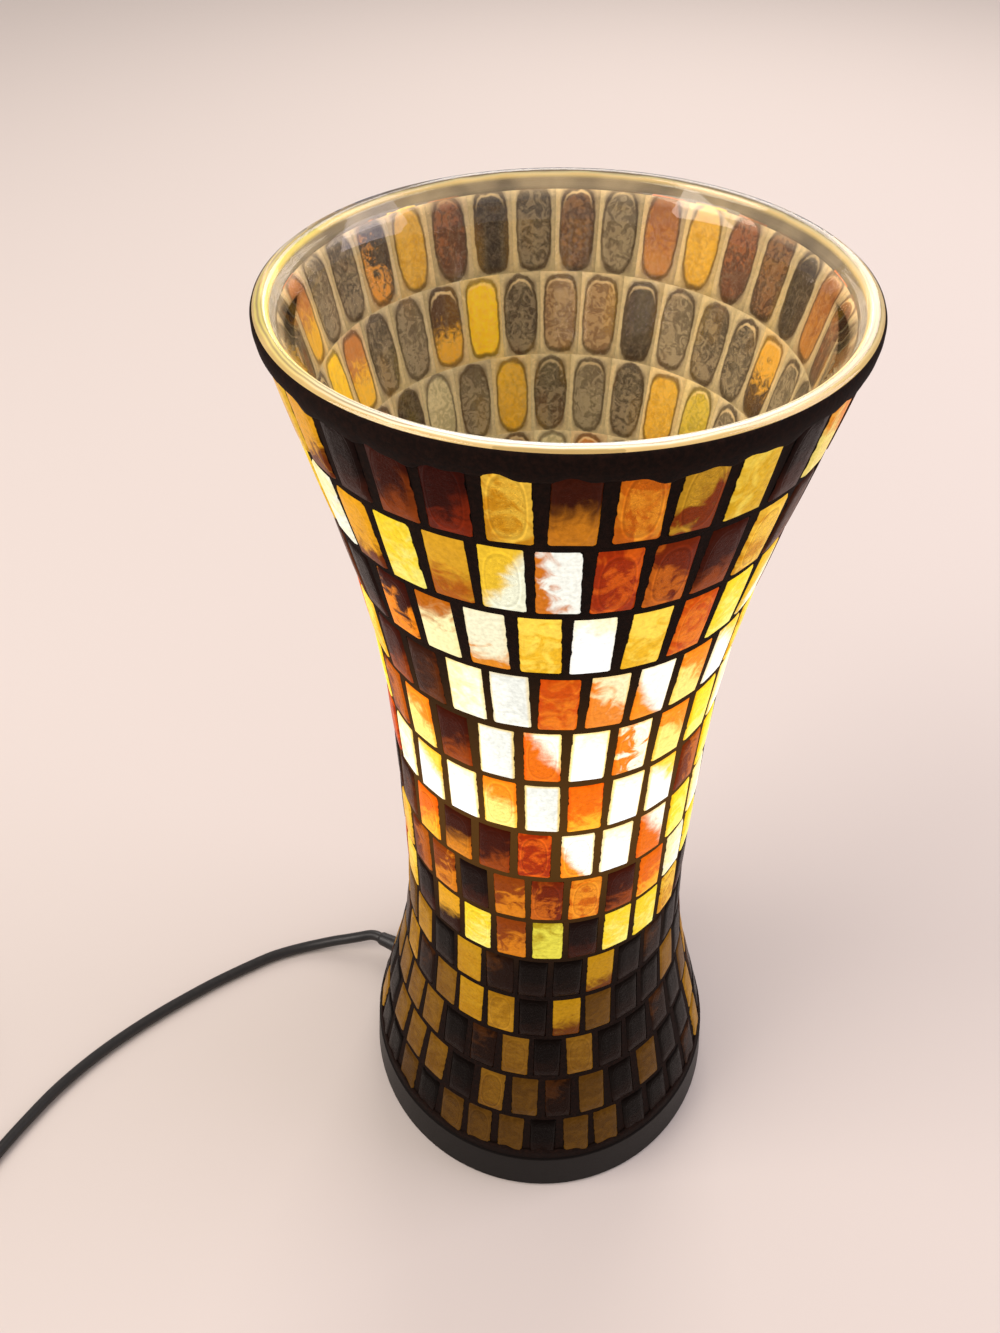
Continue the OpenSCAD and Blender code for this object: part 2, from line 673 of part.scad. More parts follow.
// Superellipse outline of the switch, full at the sides and round at the ends
function pill(l, w, p, n) = [for (k = [0:n - 1]) let (a = 360 * k / n, c = cos(a), s = sin(a))
    [l / 2 * sign(c) * pow(abs(c), 2 / p), w / 2 * sign(s) * pow(abs(s), 2 / p)]];
module switch_slab(inset, low, high) {
    translate([0, 0, low]) linear_extrude(height = high - low)
        polygon(pill(switch_l - 2 * inset, switch_w - 2 * inset, 3.4, 40));
}
module at_switch() { translate(switch_at) rotate([0, 0, switch_turn]) children(); }
module switch_cord_way() {
    translate([-switch_l, 0, cord_in_z]) rotate([0, 90, 0]) cylinder(r = cord_r + slip, h = 2 * switch_l);
}
module switch_screw_places() {
    for (side = [-1, 1]) translate([side * switch_l * 0.31, 0, 0]) children();
}

module switch_base() {
    color("#171310") at_switch() difference() {
        union() {
            switch_slab(1, 0, 1);
            switch_slab(0, 1, switch_half);
        }
        difference() {
            switch_slab(switch_wall, switch_wall, switch_half + cut);
            switch_screw_places() cylinder(r = 3.4, h = switch_h);
        }
        switch_cord_way();
        switch_screw_places() translate([0, 0, -cut]) {
            cylinder(r = screw_r + 0.1, h = switch_h);
            cylinder(r = head_r + 0.2, h = 1.5 + cut);
        }
    }
}

module switch_cover() {
    color("#171310") at_switch() difference() {
        union() {
            switch_slab(0, switch_half + hair, switch_h - 3);
            switch_slab(0.9, switch_h - 3, switch_h - 1.4);
            switch_slab(2.4, switch_h - 1.4, switch_h);
        }
        difference() {
            switch_slab(switch_wall + 1, switch_half - cut, switch_h - 3.4);
            switch_screw_places() cylinder(r = 3.4, h = switch_h);
        }
        switch_cord_way();
        switch_screw_places() cylinder(r = screw_r - 0.1, h = switch_h - 4);
        translate([-rocker_r - loose, -rocker_w / 2 - loose, switch_half])
            cube([rocker_l + 2 * loose, rocker_w + 2 * loose, switch_h]);
        translate([0, -rocker_w / 2 - 1.6, rocker_z]) rotate([-90, 0, 0])
            cylinder(r = pin_r + hair, h = rocker_w + 3.2);
    }
}

module rocker_pin() {
    color("silver") at_switch() translate([0, -rocker_w / 2 - 1.5, rocker_z]) rotate([-90, 0, 0])
        cylinder(r = pin_r, h = rocker_w + 3);
}

// The rocker lies on one stop at rest. Its ends are arcs round the pin, so they pass the slot's ends.
rocker_rest = rocker_tip / 2;
module at_rocker() {
    at_switch() translate([0, 0, rocker_z]) rotate([0, rocker_rest, 0]) children();
}
module switch_rocker() {
    crown = 3.4;
    dip = 1.5;
    color("#221c19") at_rocker() difference() {
        translate([0, rocker_w / 2, 0]) rotate([90, 0, 0]) linear_extrude(height = rocker_w) polygon(concat(
            arc([0, 0], rocker_r, -18, 21, 5), [[rocker_r * 0.5, crown - 0.9], [0, dip]],
            [[-rocker_r * 0.5, crown - 0.9]], arc([0, 0], rocker_r, 159, 198, 5)
        ));
        translate([0, -rocker_w, 0]) rotate([-90, 0, 0]) cylinder(r = pin_r + slip, h = 2 * rocker_w);
    }
}
module rocker_contact() {
    strip_l = 14;
    strip_t = 0.5;
    bottom = rocker_r * sin(18);
    color("gold") at_rocker() translate([-strip_l / 2, -2, -bottom - strip_t]) cube([strip_l, 4, strip_t]);
}
module switch_terminals() {
    low = switch_wall + hair;
    color("gold") at_switch() for (side = [-1, 1])
        translate([side * 8 - 2.5, -4, low]) cube([5, 8, switch_h - 8.4]);
}
module switch_screws() {
    color("silver") at_switch() switch_screw_places() translate([0, 0, 0.3]) {
        cylinder(r = head_r, h = 1.2);
        cylinder(r = screw_r - 0.15, h = switch_half + 4);
    }
}

// ---- Plug, lying with its pins pointing away from the coil ----
plug_at = [-334.5, 14, 0];
pin_len = 19;
pin_gap = 19;
boot_l = 12;
module plug_body() {
    color("#171310") translate(plug_at) hull()
        for (y = [3, plug_l - 3], x = [-1, 1], z = [3, plug_t - 3])
            translate([x * (y > 10 ? plug_w / 2 - 3 : plug_w / 2 - 7), y, z]) sphere(r = 3, $fn = 24);
}
module plug_boot() {
    color("#15110f") translate([plug_at[0], plug_at[1] + hair, plug_t / 2]) rotate([90, 0, 0])
        rotate_extrude() polygon([
            [0, 0], [cord_r + 2, 0], [cord_r + 2, 2], [cord_r + 0.8, boot_l], [0, boot_l]]);
}
module plug_pins() {
    color("silver") translate([plug_at[0], plug_at[1] + plug_l + hair, plug_t / 2]) for (side = [-1, 1])
        translate([side * pin_gap / 2, 0, 0]) rotate([-90, 0, 0]) {
            cylinder(r = 2, h = pin_len - 1);
            translate([0, 0, pin_len - 1]) cylinder(r1 = 2, r2 = 1.3, h = 1);
        }
}

glass_vase();
adhesive_film();
grout();
tiles_black();
tiles_brown();
tiles_red();
tiles_orange();
tiles_amber();
tiles_yellow();
tiles_pearl();
base_ring();
foot_gasket();
base_cover();
cover_screws();
foot_pads();
strain_relief();
cord_clamp();
clamp_screws();
inner_cord();
stem_nipple();
stem_sleeve();
vase_nut();
base_nut();
rubber_washer();
steel_washers();
holder_base();
holder_carrier();
thread_shell();
holder_skirt();
centre_contact();
terminal_screws();
wire_live();
wire_neutral();
bulb_glass();
bulb_cap();
bulb_insulator();
bulb_tip();
filament_mount();
filament();
cord_run();
cord_link();
cord_coil();
coil_tie();
cord_tail();
switch_base();
switch_cover();
switch_terminals();
switch_screws();
rocker_pin();
switch_rocker();
rocker_contact();
plug_body();
plug_boot();
plug_pins();
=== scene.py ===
# %% Frame
import math
import random

import bmesh
import bpy
from mathutils import Matrix, Vector


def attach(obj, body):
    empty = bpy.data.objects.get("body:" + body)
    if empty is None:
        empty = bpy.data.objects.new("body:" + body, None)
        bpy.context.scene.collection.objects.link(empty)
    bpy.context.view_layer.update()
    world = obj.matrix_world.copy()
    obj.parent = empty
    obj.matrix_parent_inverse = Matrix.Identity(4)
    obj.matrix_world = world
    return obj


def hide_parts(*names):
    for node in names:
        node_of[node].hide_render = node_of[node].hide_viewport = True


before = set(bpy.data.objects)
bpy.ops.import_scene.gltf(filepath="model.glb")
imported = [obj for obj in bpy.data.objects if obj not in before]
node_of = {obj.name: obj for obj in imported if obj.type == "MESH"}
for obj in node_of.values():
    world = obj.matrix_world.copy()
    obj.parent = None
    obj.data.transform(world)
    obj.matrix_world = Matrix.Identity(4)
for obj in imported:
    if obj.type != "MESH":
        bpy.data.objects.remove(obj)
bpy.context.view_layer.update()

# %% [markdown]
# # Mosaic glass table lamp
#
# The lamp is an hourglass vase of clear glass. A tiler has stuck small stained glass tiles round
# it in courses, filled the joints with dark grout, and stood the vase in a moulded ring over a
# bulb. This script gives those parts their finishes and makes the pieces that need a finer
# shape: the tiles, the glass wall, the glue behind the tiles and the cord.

MM = 0.001
scene = bpy.context.scene


def linear(code, level=1.0):
    """An sRGB hex colour as linear red, green, blue and 1, made brighter or darker by level."""
    channels = [int(code[k:k + 2], 16) / 255 for k in (1, 3, 5)]
    toned = [c / 12.92 if c <= 0.04045 else ((c + 0.055) / 1.055) ** 2.4 for c in channels]
    return tuple(c * level for c in toned) + (1.0,)


def add(tree, kind, inputs=None, stops=(), **settings):
    """Adds one node, with its settings, links or sets the named inputs, and bends the node's
    curve through the (value, result) stops, for values from 0 to 1."""
    made = tree.nodes.new(kind)
    for key, value in settings.items():
        setattr(made, key, value)
    for key, value in (inputs or {}).items():
        if isinstance(value, bpy.types.NodeSocket):
            tree.links.new(value, made.inputs[key])
        else:
            made.inputs[key].default_value = value
    if stops:
        curve = made.mapping.curves[0]
        curve.points[0].location = (0, stops[0][1])
        curve.points[1].location = (1, stops[-1][1])
        for at, result in stops:
            if 0 < at < 1:
                curve.points.new(at, result)
        made.mapping.update()
    return made


def into_piece(shape, name):
    """Turns a finished bmesh into a mesh object, which isn't in the scene yet."""
    mesh = bpy.data.meshes.new(name)
    shape.to_mesh(mesh)
    shape.free()
    return bpy.data.objects.new(name, mesh)


print("parts in the frame:", len(node_of))

# %% [markdown]
# ## Camera
#
# The lamp is seen from above its front, about 45 degrees down, from only 230 mm in front of the
# mouth's middle and 105 mm above it. A camera could be aimed with a Track To constraint, but a
# matrix built from yaw, pitch and roll holds a small tilt as well, so that is used here.

# %% Camera
YAW, PITCH, ROLL = math.radians(-3.896), math.radians(44.51), math.radians(-0.685)
LENS, EYE_AT = 28.46, (0, -0.2324, 0.4549)
forward = Vector((math.sin(YAW) * math.cos(PITCH), math.cos(YAW) * math.cos(PITCH),
                  -math.sin(PITCH)))
level_right = Vector((math.cos(YAW), -math.sin(YAW), 0))
level_up = level_right.cross(forward)
right = level_right * math.cos(ROLL) + level_up * math.sin(ROLL)
upward = level_up * math.cos(ROLL) - level_right * math.sin(ROLL)

eye = bpy.data.cameras.new("eye")
eye.lens = LENS
eye.clip_start = 0.01
camera = bpy.data.objects.new("eye", eye)
scene.collection.objects.link(camera)
place = Matrix((right, upward, -forward)).transposed().to_4x4()
place.translation = Vector(EYE_AT)
camera.matrix_world = place
scene.camera = camera
print("camera at", tuple(round(c, 3) for c in place.translation))

# %% [markdown]
# ## Cord
#
# The lead is round black flex, 4.8 mm thick and stiff enough to keep wide bends. It leaves the
# ring through a tapered boot, sags to the table, wanders to a hand switch, and the rest is
# wound in a coil of six turns with the plug beside it. A curve with a round bevel is the right
# tool, because the flex is one thickness all along: only its middle line has to be drawn. The
# coil is a spiral inwards on the table and a second spiral outwards on top of it.

# %% Route of the cord, in millimetres
CORD_D = 4.8
LAY = CORD_D / 2
SWITCH_AT, SWITCH_TURN, CORD_IN_Z = (-288, -127), 14, 8
COIL_AT, COIL_OUTER_R, TURNS_A_LAYER = (-290, -50), 40.2, 3
COIL_STEPS, CLIMB_TURNS = 20, 0.22
OUTLET_AZ, OUTLET_Z, RELIEF_TIP = 157, 8.4, 83.8


def past_outlet(x):
    """The point straight out of the outlet, x past the tip of the strain relief."""
    turn = math.radians(OUTLET_AZ)
    return (math.cos(turn) * (RELIEF_TIP + x), math.sin(turn) * (RELIEF_TIP + x), OUTLET_Z)


def on_switch(x):
    """The point on the switch's long axis that lies x from its middle."""
    turn = math.radians(SWITCH_TURN)
    return (SWITCH_AT[0] + x * math.cos(turn), SWITCH_AT[1] + x * math.sin(turn), CORD_IN_Z)


def coil_points():
    """Clockwise turns: inwards on the table, a short climb, then outwards on the first layer."""
    points = []
    for k in range(2 * TURNS_A_LAYER * COIL_STEPS + 1):
        turn = k / COIL_STEPS
        r = COIL_OUTER_R - CORD_D * min(turn, 2 * TURNS_A_LAYER - turn)
        climb = min(max((turn - TURNS_A_LAYER) / CLIMB_TURNS + 0.5, 0), 1)
        z = LAY + CORD_D * (3 * climb ** 2 - 2 * climb ** 3)
        angle = math.pi - 2 * math.pi * turn
        points.append((COIL_AT[0] + r * math.cos(angle), COIL_AT[1] + r * math.sin(angle), z))
    return points


to_switch = [
    past_outlet(0.1), past_outlet(2.5), (-82.6, 34, 8.1), (-87.6, 33.3, 7.2), (-93, 32.7, 6),
    (-99.5, 32, 4.7), (-106, 30.9, 3.5), (-112.2, 29.5, 2.7), (-118.6, 27.5, LAY),
    (-124.7, 25.1, LAY), (-130.9, 22.1, LAY), (-142.1, 15.2, LAY), (-153.2, 7.8, LAY),
    (-163.8, -0.1, LAY),
    (-173.9, -8.2, LAY), (-183.6, -16.8, LAY), (-193, -26.1, LAY), (-201.8, -36.2, LAY),
    (-209.9, -47.4, LAY), (-216.9, -59.6, LAY), (-222.4, -70.2, LAY), (-227, -80.4, LAY),
    (-233, -94.6, 3), (-240, -106, 5), (-248, -114.3, 7), on_switch(33), on_switch(24),
]
to_coil = [
    on_switch(8), on_switch(-8), on_switch(-24), on_switch(-33), (-329, -136.3, 6.6),
    (-337.7, -134.5, 4.6), (-345.3, -130, 3), (-350.9, -123.2, LAY), (-354, -114.9, LAY),
    (-354.4, -105.9, LAY), (-352.1, -97.2, LAY), (-348.6, -88.8, LAY), (-344.4, -80.6, LAY),
    (-340.1, -72.6, LAY), (-335.8, -64.4, LAY), (-332.3, -57.4, LAY),
]
to_plug = [
    (-330.4, -41, 6.9), (-331.2, -31, 6), (-332.5, -22, 5.4), (-333.7, -14, 5.6),
    (-334.5, -7, 6.5), (-334.5, -3, 6.75), (-334.5, 1.95, 6.75),
]


def smooth_line(points, steps=4):
    """Points along a Catmull-Rom curve through the given ones."""
    p = [Vector(q) for q in points]
    p = [2 * p[0] - p[1]] + p + [2 * p[-1] - p[-2]]
    line = []
    for a, b, c, d in zip(p, p[1:], p[2:], p[3:]):
        for s in range(steps):
            t = s / steps
            line.append(0.5 * (2 * b + (c - a) * t + (2 * a - 5 * b + 4 * c - d) * t * t
                               + (3 * b - a - 3 * c + d) * t ** 3))
    return line + [p[-2]]


route = [q * MM for q in smooth_line(to_switch + to_coil + coil_points() + to_plug)]

# %% Cord as a bevelled curve
flex = bpy.data.curves.new("cord", "CURVE")
flex.dimensions = "3D"
flex.bevel_depth = CORD_D / 2 * MM
flex.bevel_resolution = 4
flex.use_fill_caps = True
spline = flex.splines.new("POLY")
spline.points.add(len(route) - 1)
for dot, q in zip(spline.points, route):
    dot.co = (*q, 1)
spline.use_smooth = True
cord = bpy.data.objects.new("cord", flex)
scene.collection.objects.link(cord)
print("cord thickness:", round(flex.bevel_depth * 2000, 2), "mm")

# %% [markdown]
# ## Studio
#
# A plain pale floor and three soft area lights, kept at a level where a colour renders about as
# it is written. The glass tiles shine by themselves, because the lamp is lit, so the studio
# stays a little under full level and the lights are large, to keep hard glints off the glass.

# %% Floor, lights and world, in metres and watts
FLOOR_HALF, FLOOR_DROP, LAMP_MIDDLE = 3, 0.0002, (0, 0, 0.15)
floor_mesh = bpy.data.meshes.new("floor")
floor_corners = [(x * FLOOR_HALF, y * FLOOR_HALF, 0) for x, y in ((-1, -1), (1, -1), (1, 1), (-1, 1))]
floor_mesh.from_pydata(floor_corners, [], [(0, 1, 2, 3)])
floor = bpy.data.objects.new("floor", floor_mesh)
floor.location.z = -FLOOR_DROP
scene.collection.objects.link(floor)
floor_paint = bpy.data.materials.new("pale studio floor")
floor_paint.use_nodes = True
floor_face = floor_paint.node_tree.nodes["Principled BSDF"]
floor_face.inputs["Base Color"].default_value = linear("#d6cdc7")
floor_face.inputs["Roughness"].default_value = 0.85
floor_face.inputs["Specular IOR Level"].default_value = 0.15
floor_mesh.materials.append(floor_paint)


def soft_light(name, place, size, watts, colour):
    """A square area light that looks at the middle of the lamp."""
    lamp = bpy.data.lights.new(name, "AREA")
    lamp.size, lamp.energy, lamp.color = size, watts, linear(colour)[:3]
    stand = bpy.data.objects.new(name, lamp)
    stand.location = place
    aim = Vector(LAMP_MIDDLE) - Vector(place)
    stand.rotation_euler = aim.to_track_quat("-Z", "Y").to_euler()
    scene.collection.objects.link(stand)


soft_light("window light", (-1.3, -0.5, 1.5), 1.2, 24, "#fff4ec")
soft_light("fill light", (1.4, 0.2, 1.2), 1.2, 13, "#f8f0ff")
soft_light("back light", (0.2, 1.6, 1.3), 1.0, 12, "#fff6f0")

scene.world = bpy.data.worlds.new("studio")
scene.world.use_nodes = True
sky = scene.world.node_tree.nodes["Background"]
sky.inputs["Color"].default_value = linear("#efe6e2")
sky.inputs["Strength"].default_value = 0.7
scene.view_settings.view_transform = "Standard"

# %% [markdown]
# ## Outline of the vase
#
# The vase is blown into a mould: a slim waist flares in one smooth swell to the mouth and to the
# foot. One cosine rule gives the whole outline of the tiled surface, and every layer is set back
# square to it: grout, glue and glass. The same rule shaped the frame's parts.

# %% The outline rule
LAMP_H, MOUTH_D, WAIST_D, WAIST_Z, FOOT_D, RING_H = 350, 141.2, 100, 175, 140, 22
TILE_W, TILE_T = 9.9, 2.8
SKIN_T, GLASS_T, LIP_T, LIP_ROUND = 3.3, 3.5, 3.9, 1.5
NECK_Z = LAMP_H - 3.6
GLASS_BOTTOM, FLOOR_TOP, STEM_HOLE_R = 18.5, 23, 6.5
BELL_TURN, BELL_EASE = math.radians(144), 1.6


def bell(u):
    """Swell of a flare, from 0 at the waist, where u is 0, to 1 at its end."""
    return (1 - math.cos(BELL_TURN * u ** BELL_EASE)) / (1 - math.cos(BELL_TURN))


def outline(z):
    """Radius of the tiled surface at height z, in millimetres."""
    if z > WAIST_Z:
        return WAIST_D / 2 + (MOUTH_D - WAIST_D) / 2 * bell((z - WAIST_Z) / (LAMP_H - WAIST_Z))
    return WAIST_D / 2 + (FOOT_D - WAIST_D) / 2 * bell((WAIST_Z - z) / (WAIST_Z - RING_H))


def lean_at(z):
    """Angle by which the tiled surface leans outwards at height z."""
    return math.atan(outline(z + 0.5) - outline(z - 0.5))


def inside(z, depth):
    """Radius and height of the point that lies depth inside the outline, square to it."""
    lean = lean_at(z)
    return (outline(z) - depth * math.cos(lean), z + depth * math.sin(lean))


def arc(cx, cz, r, start, end, steps):
    """Points of an arc round (cx, cz), from one angle to the other, in degrees."""
    angles = [math.radians(start + (end - start) * k / steps) for k in range(steps + 1)]
    return [(cx + r * math.cos(a), cz + r * math.sin(a)) for a in angles]


def heights(low, high, steps):
    """Evenly spaced heights from low to high, both included."""
    return [low + (high - low) * k / steps for k in range(steps + 1)]


print("waist radius:", outline(WAIST_Z), "mouth radius:", outline(LAMP_H))

# %% [markdown]
# ## Turned shapes
#
# The wall and the bands of grout at its two ends are round bodies, each the turn of one closed
# profile. A Screw modifier would turn a profile too, but here each point may also stray with its
# angle, which gives the grout its hand-made edge, so the turning is done in mesh code.

# %% Turning a closed profile into a mesh


def turned(name, profile, steps=144, wander=None):
    """Turns a closed profile of (radius, height) round the lamp's axis. The wander function may
    move a point by its angle and its place in the profile, for hand-made unevenness."""
    shape = bmesh.new()
    rings = []
    for k in range(steps):
        angle = 2 * math.pi * k / steps
        ring = []
        for n, (r, z) in enumerate(profile):
            dr, dz = wander(angle, n) if wander else (0, 0)
            ring.append(shape.verts.new(
                ((r + dr) * math.cos(angle) * MM, (r + dr) * math.sin(angle) * MM, (z + dz) * MM)))
        rings.append(ring)
    for this, after in zip(rings, rings[1:] + rings[:1]):
        for a, b, c, d in zip(this, this[1:] + this[:1], after[1:] + after[:1], after):
            shape.faces.new((a, b, c, d)).smooth = True
    bmesh.ops.recalc_face_normals(shape, faces=shape.faces)
    piece = into_piece(shape, name)
    scene.collection.objects.link(piece)
    return piece


# %% [markdown]
# ## Glass wall
#
# The wall is soda-lime glass, 3.5 mm thick, with a fire-polished rim that turns out over the
# mosaic. It could be a Solidify modifier on one skin, but the rim and the heel need their own
# rounding, so the whole closed profile is turned instead.

# %% Glass wall
BEND_R, FOOT_CUT, WALL_STEPS, LIP_STEPS, BEND_STEPS = 6, 1.5, 60, 10, 8
heel_z = FLOOR_TOP + BEND_R + 2
heel_r = inside(heel_z, SKIN_T + GLASS_T)[0]
foot_r = outline(RING_H) - SKIN_T
wall = [(STEM_HOLE_R, GLASS_BOTTOM), (foot_r - FOOT_CUT, GLASS_BOTTOM)]
wall += [(foot_r, GLASS_BOTTOM + FOOT_CUT)]
wall += [inside(z, SKIN_T) for z in heights(RING_H, NECK_Z, WALL_STEPS)]
wall += arc(MOUTH_D / 2 - LIP_ROUND, LAMP_H - LIP_ROUND, LIP_ROUND, 0, 90, LIP_STEPS)
wall += arc(MOUTH_D / 2 - LIP_T + LIP_ROUND, LAMP_H - LIP_ROUND, LIP_ROUND, 90, 180, LIP_STEPS)
wall += [inside(z, SKIN_T + GLASS_T) for z in heights(NECK_Z - 4, heel_z, WALL_STEPS)]
wall += arc(heel_r - BEND_R, FLOOR_TOP + BEND_R, BEND_R, 0, -90, BEND_STEPS)
wall += [(STEM_HOLE_R, FLOOR_TOP)]
vase = turned("vase_glass", wall)
print("faces in the glass wall:", len(vase.data.polygons))

# %% [markdown]
# ## Where the tiles lie
#
# The frame holds every tile as a plain block. Each block's own corners say where its middle is
# and which way it faces, so the finished tiles can be laid on exactly the same places. Loose
# triangles are merged by position first, because the frame's meshes keep every face apart.

# %% Reading the blocks
GLASS_KINDS = ["black", "brown", "red", "orange", "amber", "yellow", "pearl"]
SAME_POINT, ROW_APART = 0.01 * MM, 5 * MM


def blocks_of(node):
    """Middle, the across, outward and up directions, and height of each block in a tile node."""
    shape = bmesh.new()
    shape.from_mesh(node.data)
    bmesh.ops.remove_doubles(shape, verts=shape.verts, dist=SAME_POINT)
    seen, found = set(), []
    for start in shape.verts:
        if start in seen:
            continue
        corners, waiting = [], [start]
        seen.add(start)
        while waiting:
            v = waiting.pop()
            corners.append(v.co.copy())
            for e in v.link_edges:
                w = e.other_vert(v)
                if w not in seen:
                    seen.add(w)
                    waiting.append(w)
        middle = sum(corners, Vector()) / len(corners)
        radial = Vector((middle.x, middle.y, 0)).normalized()
        climbing = sorted(corners, key=lambda c: c.z)
        rise = sum(climbing[-4:], Vector()) - sum(climbing[:4], Vector())
        up = rise.normalized()
        sideways = Vector((-radial.y, radial.x, 0))
        across = (sideways - up * sideways.dot(up)).normalized()
        found.append((middle, across, across.cross(up), up, rise.length / 4))
    shape.free()
    return found


tiles = []
for kind in GLASS_KINDS:
    for middle, across, out, up, height in blocks_of(node_of["tiles_" + kind]):
        azimuth = math.degrees(math.atan2(middle.x, -middle.y))
        tiles.append({"kind": kind, "middle": middle, "across": across, "out": out, "up": up,
                      "azimuth": azimuth, "height": height})
tiles.sort(key=lambda t: (-round(t["middle"].z / MM / 5), t["azimuth"]))
levels = []
for tile in sorted(tiles, key=lambda t: -t["middle"].z):
    if not levels or levels[-1] - tile["middle"].z > ROW_APART:
        levels.append(tile["middle"].z)
    tile["course"] = len(levels) - 1
TILE_H = sum(t["height"] for t in tiles) / len(tiles) / MM
print("tiles:", len(tiles), "courses:", len(levels), "height:", round(TILE_H, 2), "mm")

# %% [markdown]
# ## Looks of the stained glass
#
# The sheet glass is streaky: two colours were folded together while it was hot, so a tile shows
# a cloud, a slant or a flame of one colour in the other. Each look below is two colours, the way
# the second one grows across the tile, and how wild the edge between them is. The tiles of the
# middle courses shine nearly white and those low down only glimmer, so a tile also has a glow.

# %% Named looks
# name: (first colour, second colour, (across, up) way of growth, wildness of the edge, reach of the
# second colour)
LOOKS = {
    "pitch": ("#0c0503", "#1a0b06", (0, -1), 0.8, 0.35),
    "soot": ("#180906", "#36140a", (0, -1), 0.8, 0.35),
    "smoke": ("#34160a", "#5a2a0c", (0.4, -0.5), 1.0, 0.45),
    "oxblood": ("#3a1005", "#8c3c0d", (0.2, -0.8), 0.8, 0.36),
    "maroon": ("#320903", "#7e2407", (0.4, -0.7), 0.8, 0.32),
    "ember": ("#9a2c08", "#cc5410", (0.1, 0.1), 2.2, 0.45),
    "tangerine": ("#c44a0a", "#e2741a", (0.2, -0.3), 1.4, 0.5),
    "crimson": ("#6e2208", "#bc5c14", (-0.4, -0.6), 2.0, 0.45),
    "burnt": ("#8a3c0c", "#d67c18", (0.3, -0.7), 1.6, 0.5),
    "rust": ("#6b2a0a", "#b25a12", (0.8, 0.3), 1.8, 0.5),
    "flame": ("#3a1006", "#f58a16", (-0.4, -0.7), 2.0, 0.5),
    "orange": ("#e5680c", "#ffb02a", (0.2, -0.9), 1.2, 0.4),
    "apricot": ("#f08a1c", "#ffe27a", (-0.3, -0.9), 0.9, 0.55),
    "amber": ("#d08a14", "#f2bc3e", (0.3, 0.3), 1.5, 0.55),
    "amber_brown": ("#eda41e", "#6b2c08", (0.2, -1), 1.2, 0.3),
    "amber_low": ("#dea226", "#b05a0e", (-0.2, -0.8), 0.9, 0.4),
    "sunrise": ("#fff2b4", "#bc640e", (-0.1, 1.0), 0.8, 0.32),
    "sunset": ("#f4ecc8", "#e0861a", (-0.1, -1.0), 1.5, 0.3),
    "melon": ("#e8842a", "#f8e6b4", (0.5, 0.7), 1.1, 0.42),
    "toast": ("#3a1206", "#cc7a1a", (0.1, -0.9), 0.5, 0.42),
    "toast_high": ("#e8a424", "#2c1006", (0.1, -1.2), 0.8, 0.45),
    "squiggle": ("#c45e0c", "#e88c22", (0, 0.1), 2.2, 0.5),
    "diagonal": ("#c08a20", "#80300a", (0.5, -0.9), 1.6, 0.42),
    "honey": ("#e8b022", "#ffd650", (0, 0.3), 1.4, 0.5),
    "lemon": ("#ffd72e", "#fff07a", (0.2, -0.3), 1.0, 0.45),
    "cream": ("#fff2b4", "#fffbe6", (0.3, -0.3), 1.0, 0.5),
    "streak": ("#f0c030", "#f8f6d8", (0.8, -0.8), 0.8, 0.42),
    "marble": ("#fff6d6", "#e8801c", (-0.3, -0.2), 2.6, 0.45),
    "patch": ("#fffdf0", "#d4741a", (-0.9, -0.5), 1.5, 0.36),
    "corner": ("#fffcf0", "#ef8e1e", (-0.9, -1.0), 0.5, 0.25),
    "edged": ("#fffdf2", "#ffd24a", (0.4, 0.9), 0.6, 0.3),
    "hot": ("#ffffff", "#fff6cf", (0.2, 0.8), 0.7, 0.3),
    "pearl_grey": ("#f4f2e6", "#e2e2d8", (0.6, 0.6), 1.6, 0.5),
    "orange_white": ("#e06a10", "#fff8e0", (0.7, 0.8), 0.5, 0.32),
    "olive": ("#b0941a", "#e6d84a", (0.2, -0.2), 1.2, 0.6),
    # The ochres, bark, umber and pitch are looks of the lower courses: the same glass made darker, as
    # painted shade, where little of the bulb's light comes through
    "ochre": ("#a06c10", "#b8801a", (0.1, -0.3), 1.4, 0.5),
    "bright_ochre": ("#bc8210", "#c8901a", (0.1, 0.4), 1.0, 0.5),
    "low_ochre": ("#bc8612", "#6a3408", (0.1, -0.9), 0.8, 0.35),
    "dim_ochre": ("#7c5010", "#8e6018", (0.2, 0.2), 1.2, 0.5),
    "bark": ("#5c3a0e", "#6c4612", (0.2, -0.2), 1.2, 0.5),
    "umber": ("#1e0c05", "#46240a", (-0.3, 0.4), 1.2, 0.35),
}
print("looks from outside:", len(LOOKS))

# %% Looks from inside
# The same sheets seen unlit and through the glue: (first colour, second colour, way of growth,
# wildness, reach)
BACKS = {
    "soot": ("#241a12", "#423528", (0, 0.1), 1.8, 0.35),
    "smoke": ("#40372a", "#776a52", (0.1, -0.3), 2.6, 0.48),
    "umber": ("#5a4f3c", "#85785e", (0.1, -0.3), 2.4, 0.5),
    "oxblood": ("#452a18", "#74502e", (0.1, 0.2), 3.0, 0.45),
    "rust": ("#4e2814", "#804a26", (0.2, 0.6), 2.2, 0.42),
    "squiggle": ("#74573a", "#9a7e58", (0.1, 0.1), 3.0, 0.5),
    "honey": ("#bc8c1c", "#d0a434", (0, 0.2), 1.0, 0.5),
    "lemon": ("#e6b60a", "#f4c81c", (0, 0.2), 1.0, 0.5),
    "orange": ("#8a4e1a", "#a86e28", (0.1, -0.6), 1.6, 0.5),
    "apricot": ("#b4702e", "#e4b026", (0, -1.0), 1.0, 0.5),
    "toast": ("#462814", "#d49c22", (0, -1.1), 0.9, 0.42),
    "toast_high": ("#cc982c", "#3a2414", (0, -0.9), 1.2, 0.45),
    "flame": ("#2c2116", "#c8862a", (0.4, -0.5), 1.6, 0.42),
    "olive": ("#9c881e", "#bea632", (0.2, 0.2), 1.4, 0.5),
    "cream": ("#a2966e", "#c2b68c", (0.2, 0.2), 1.6, 0.5),
}
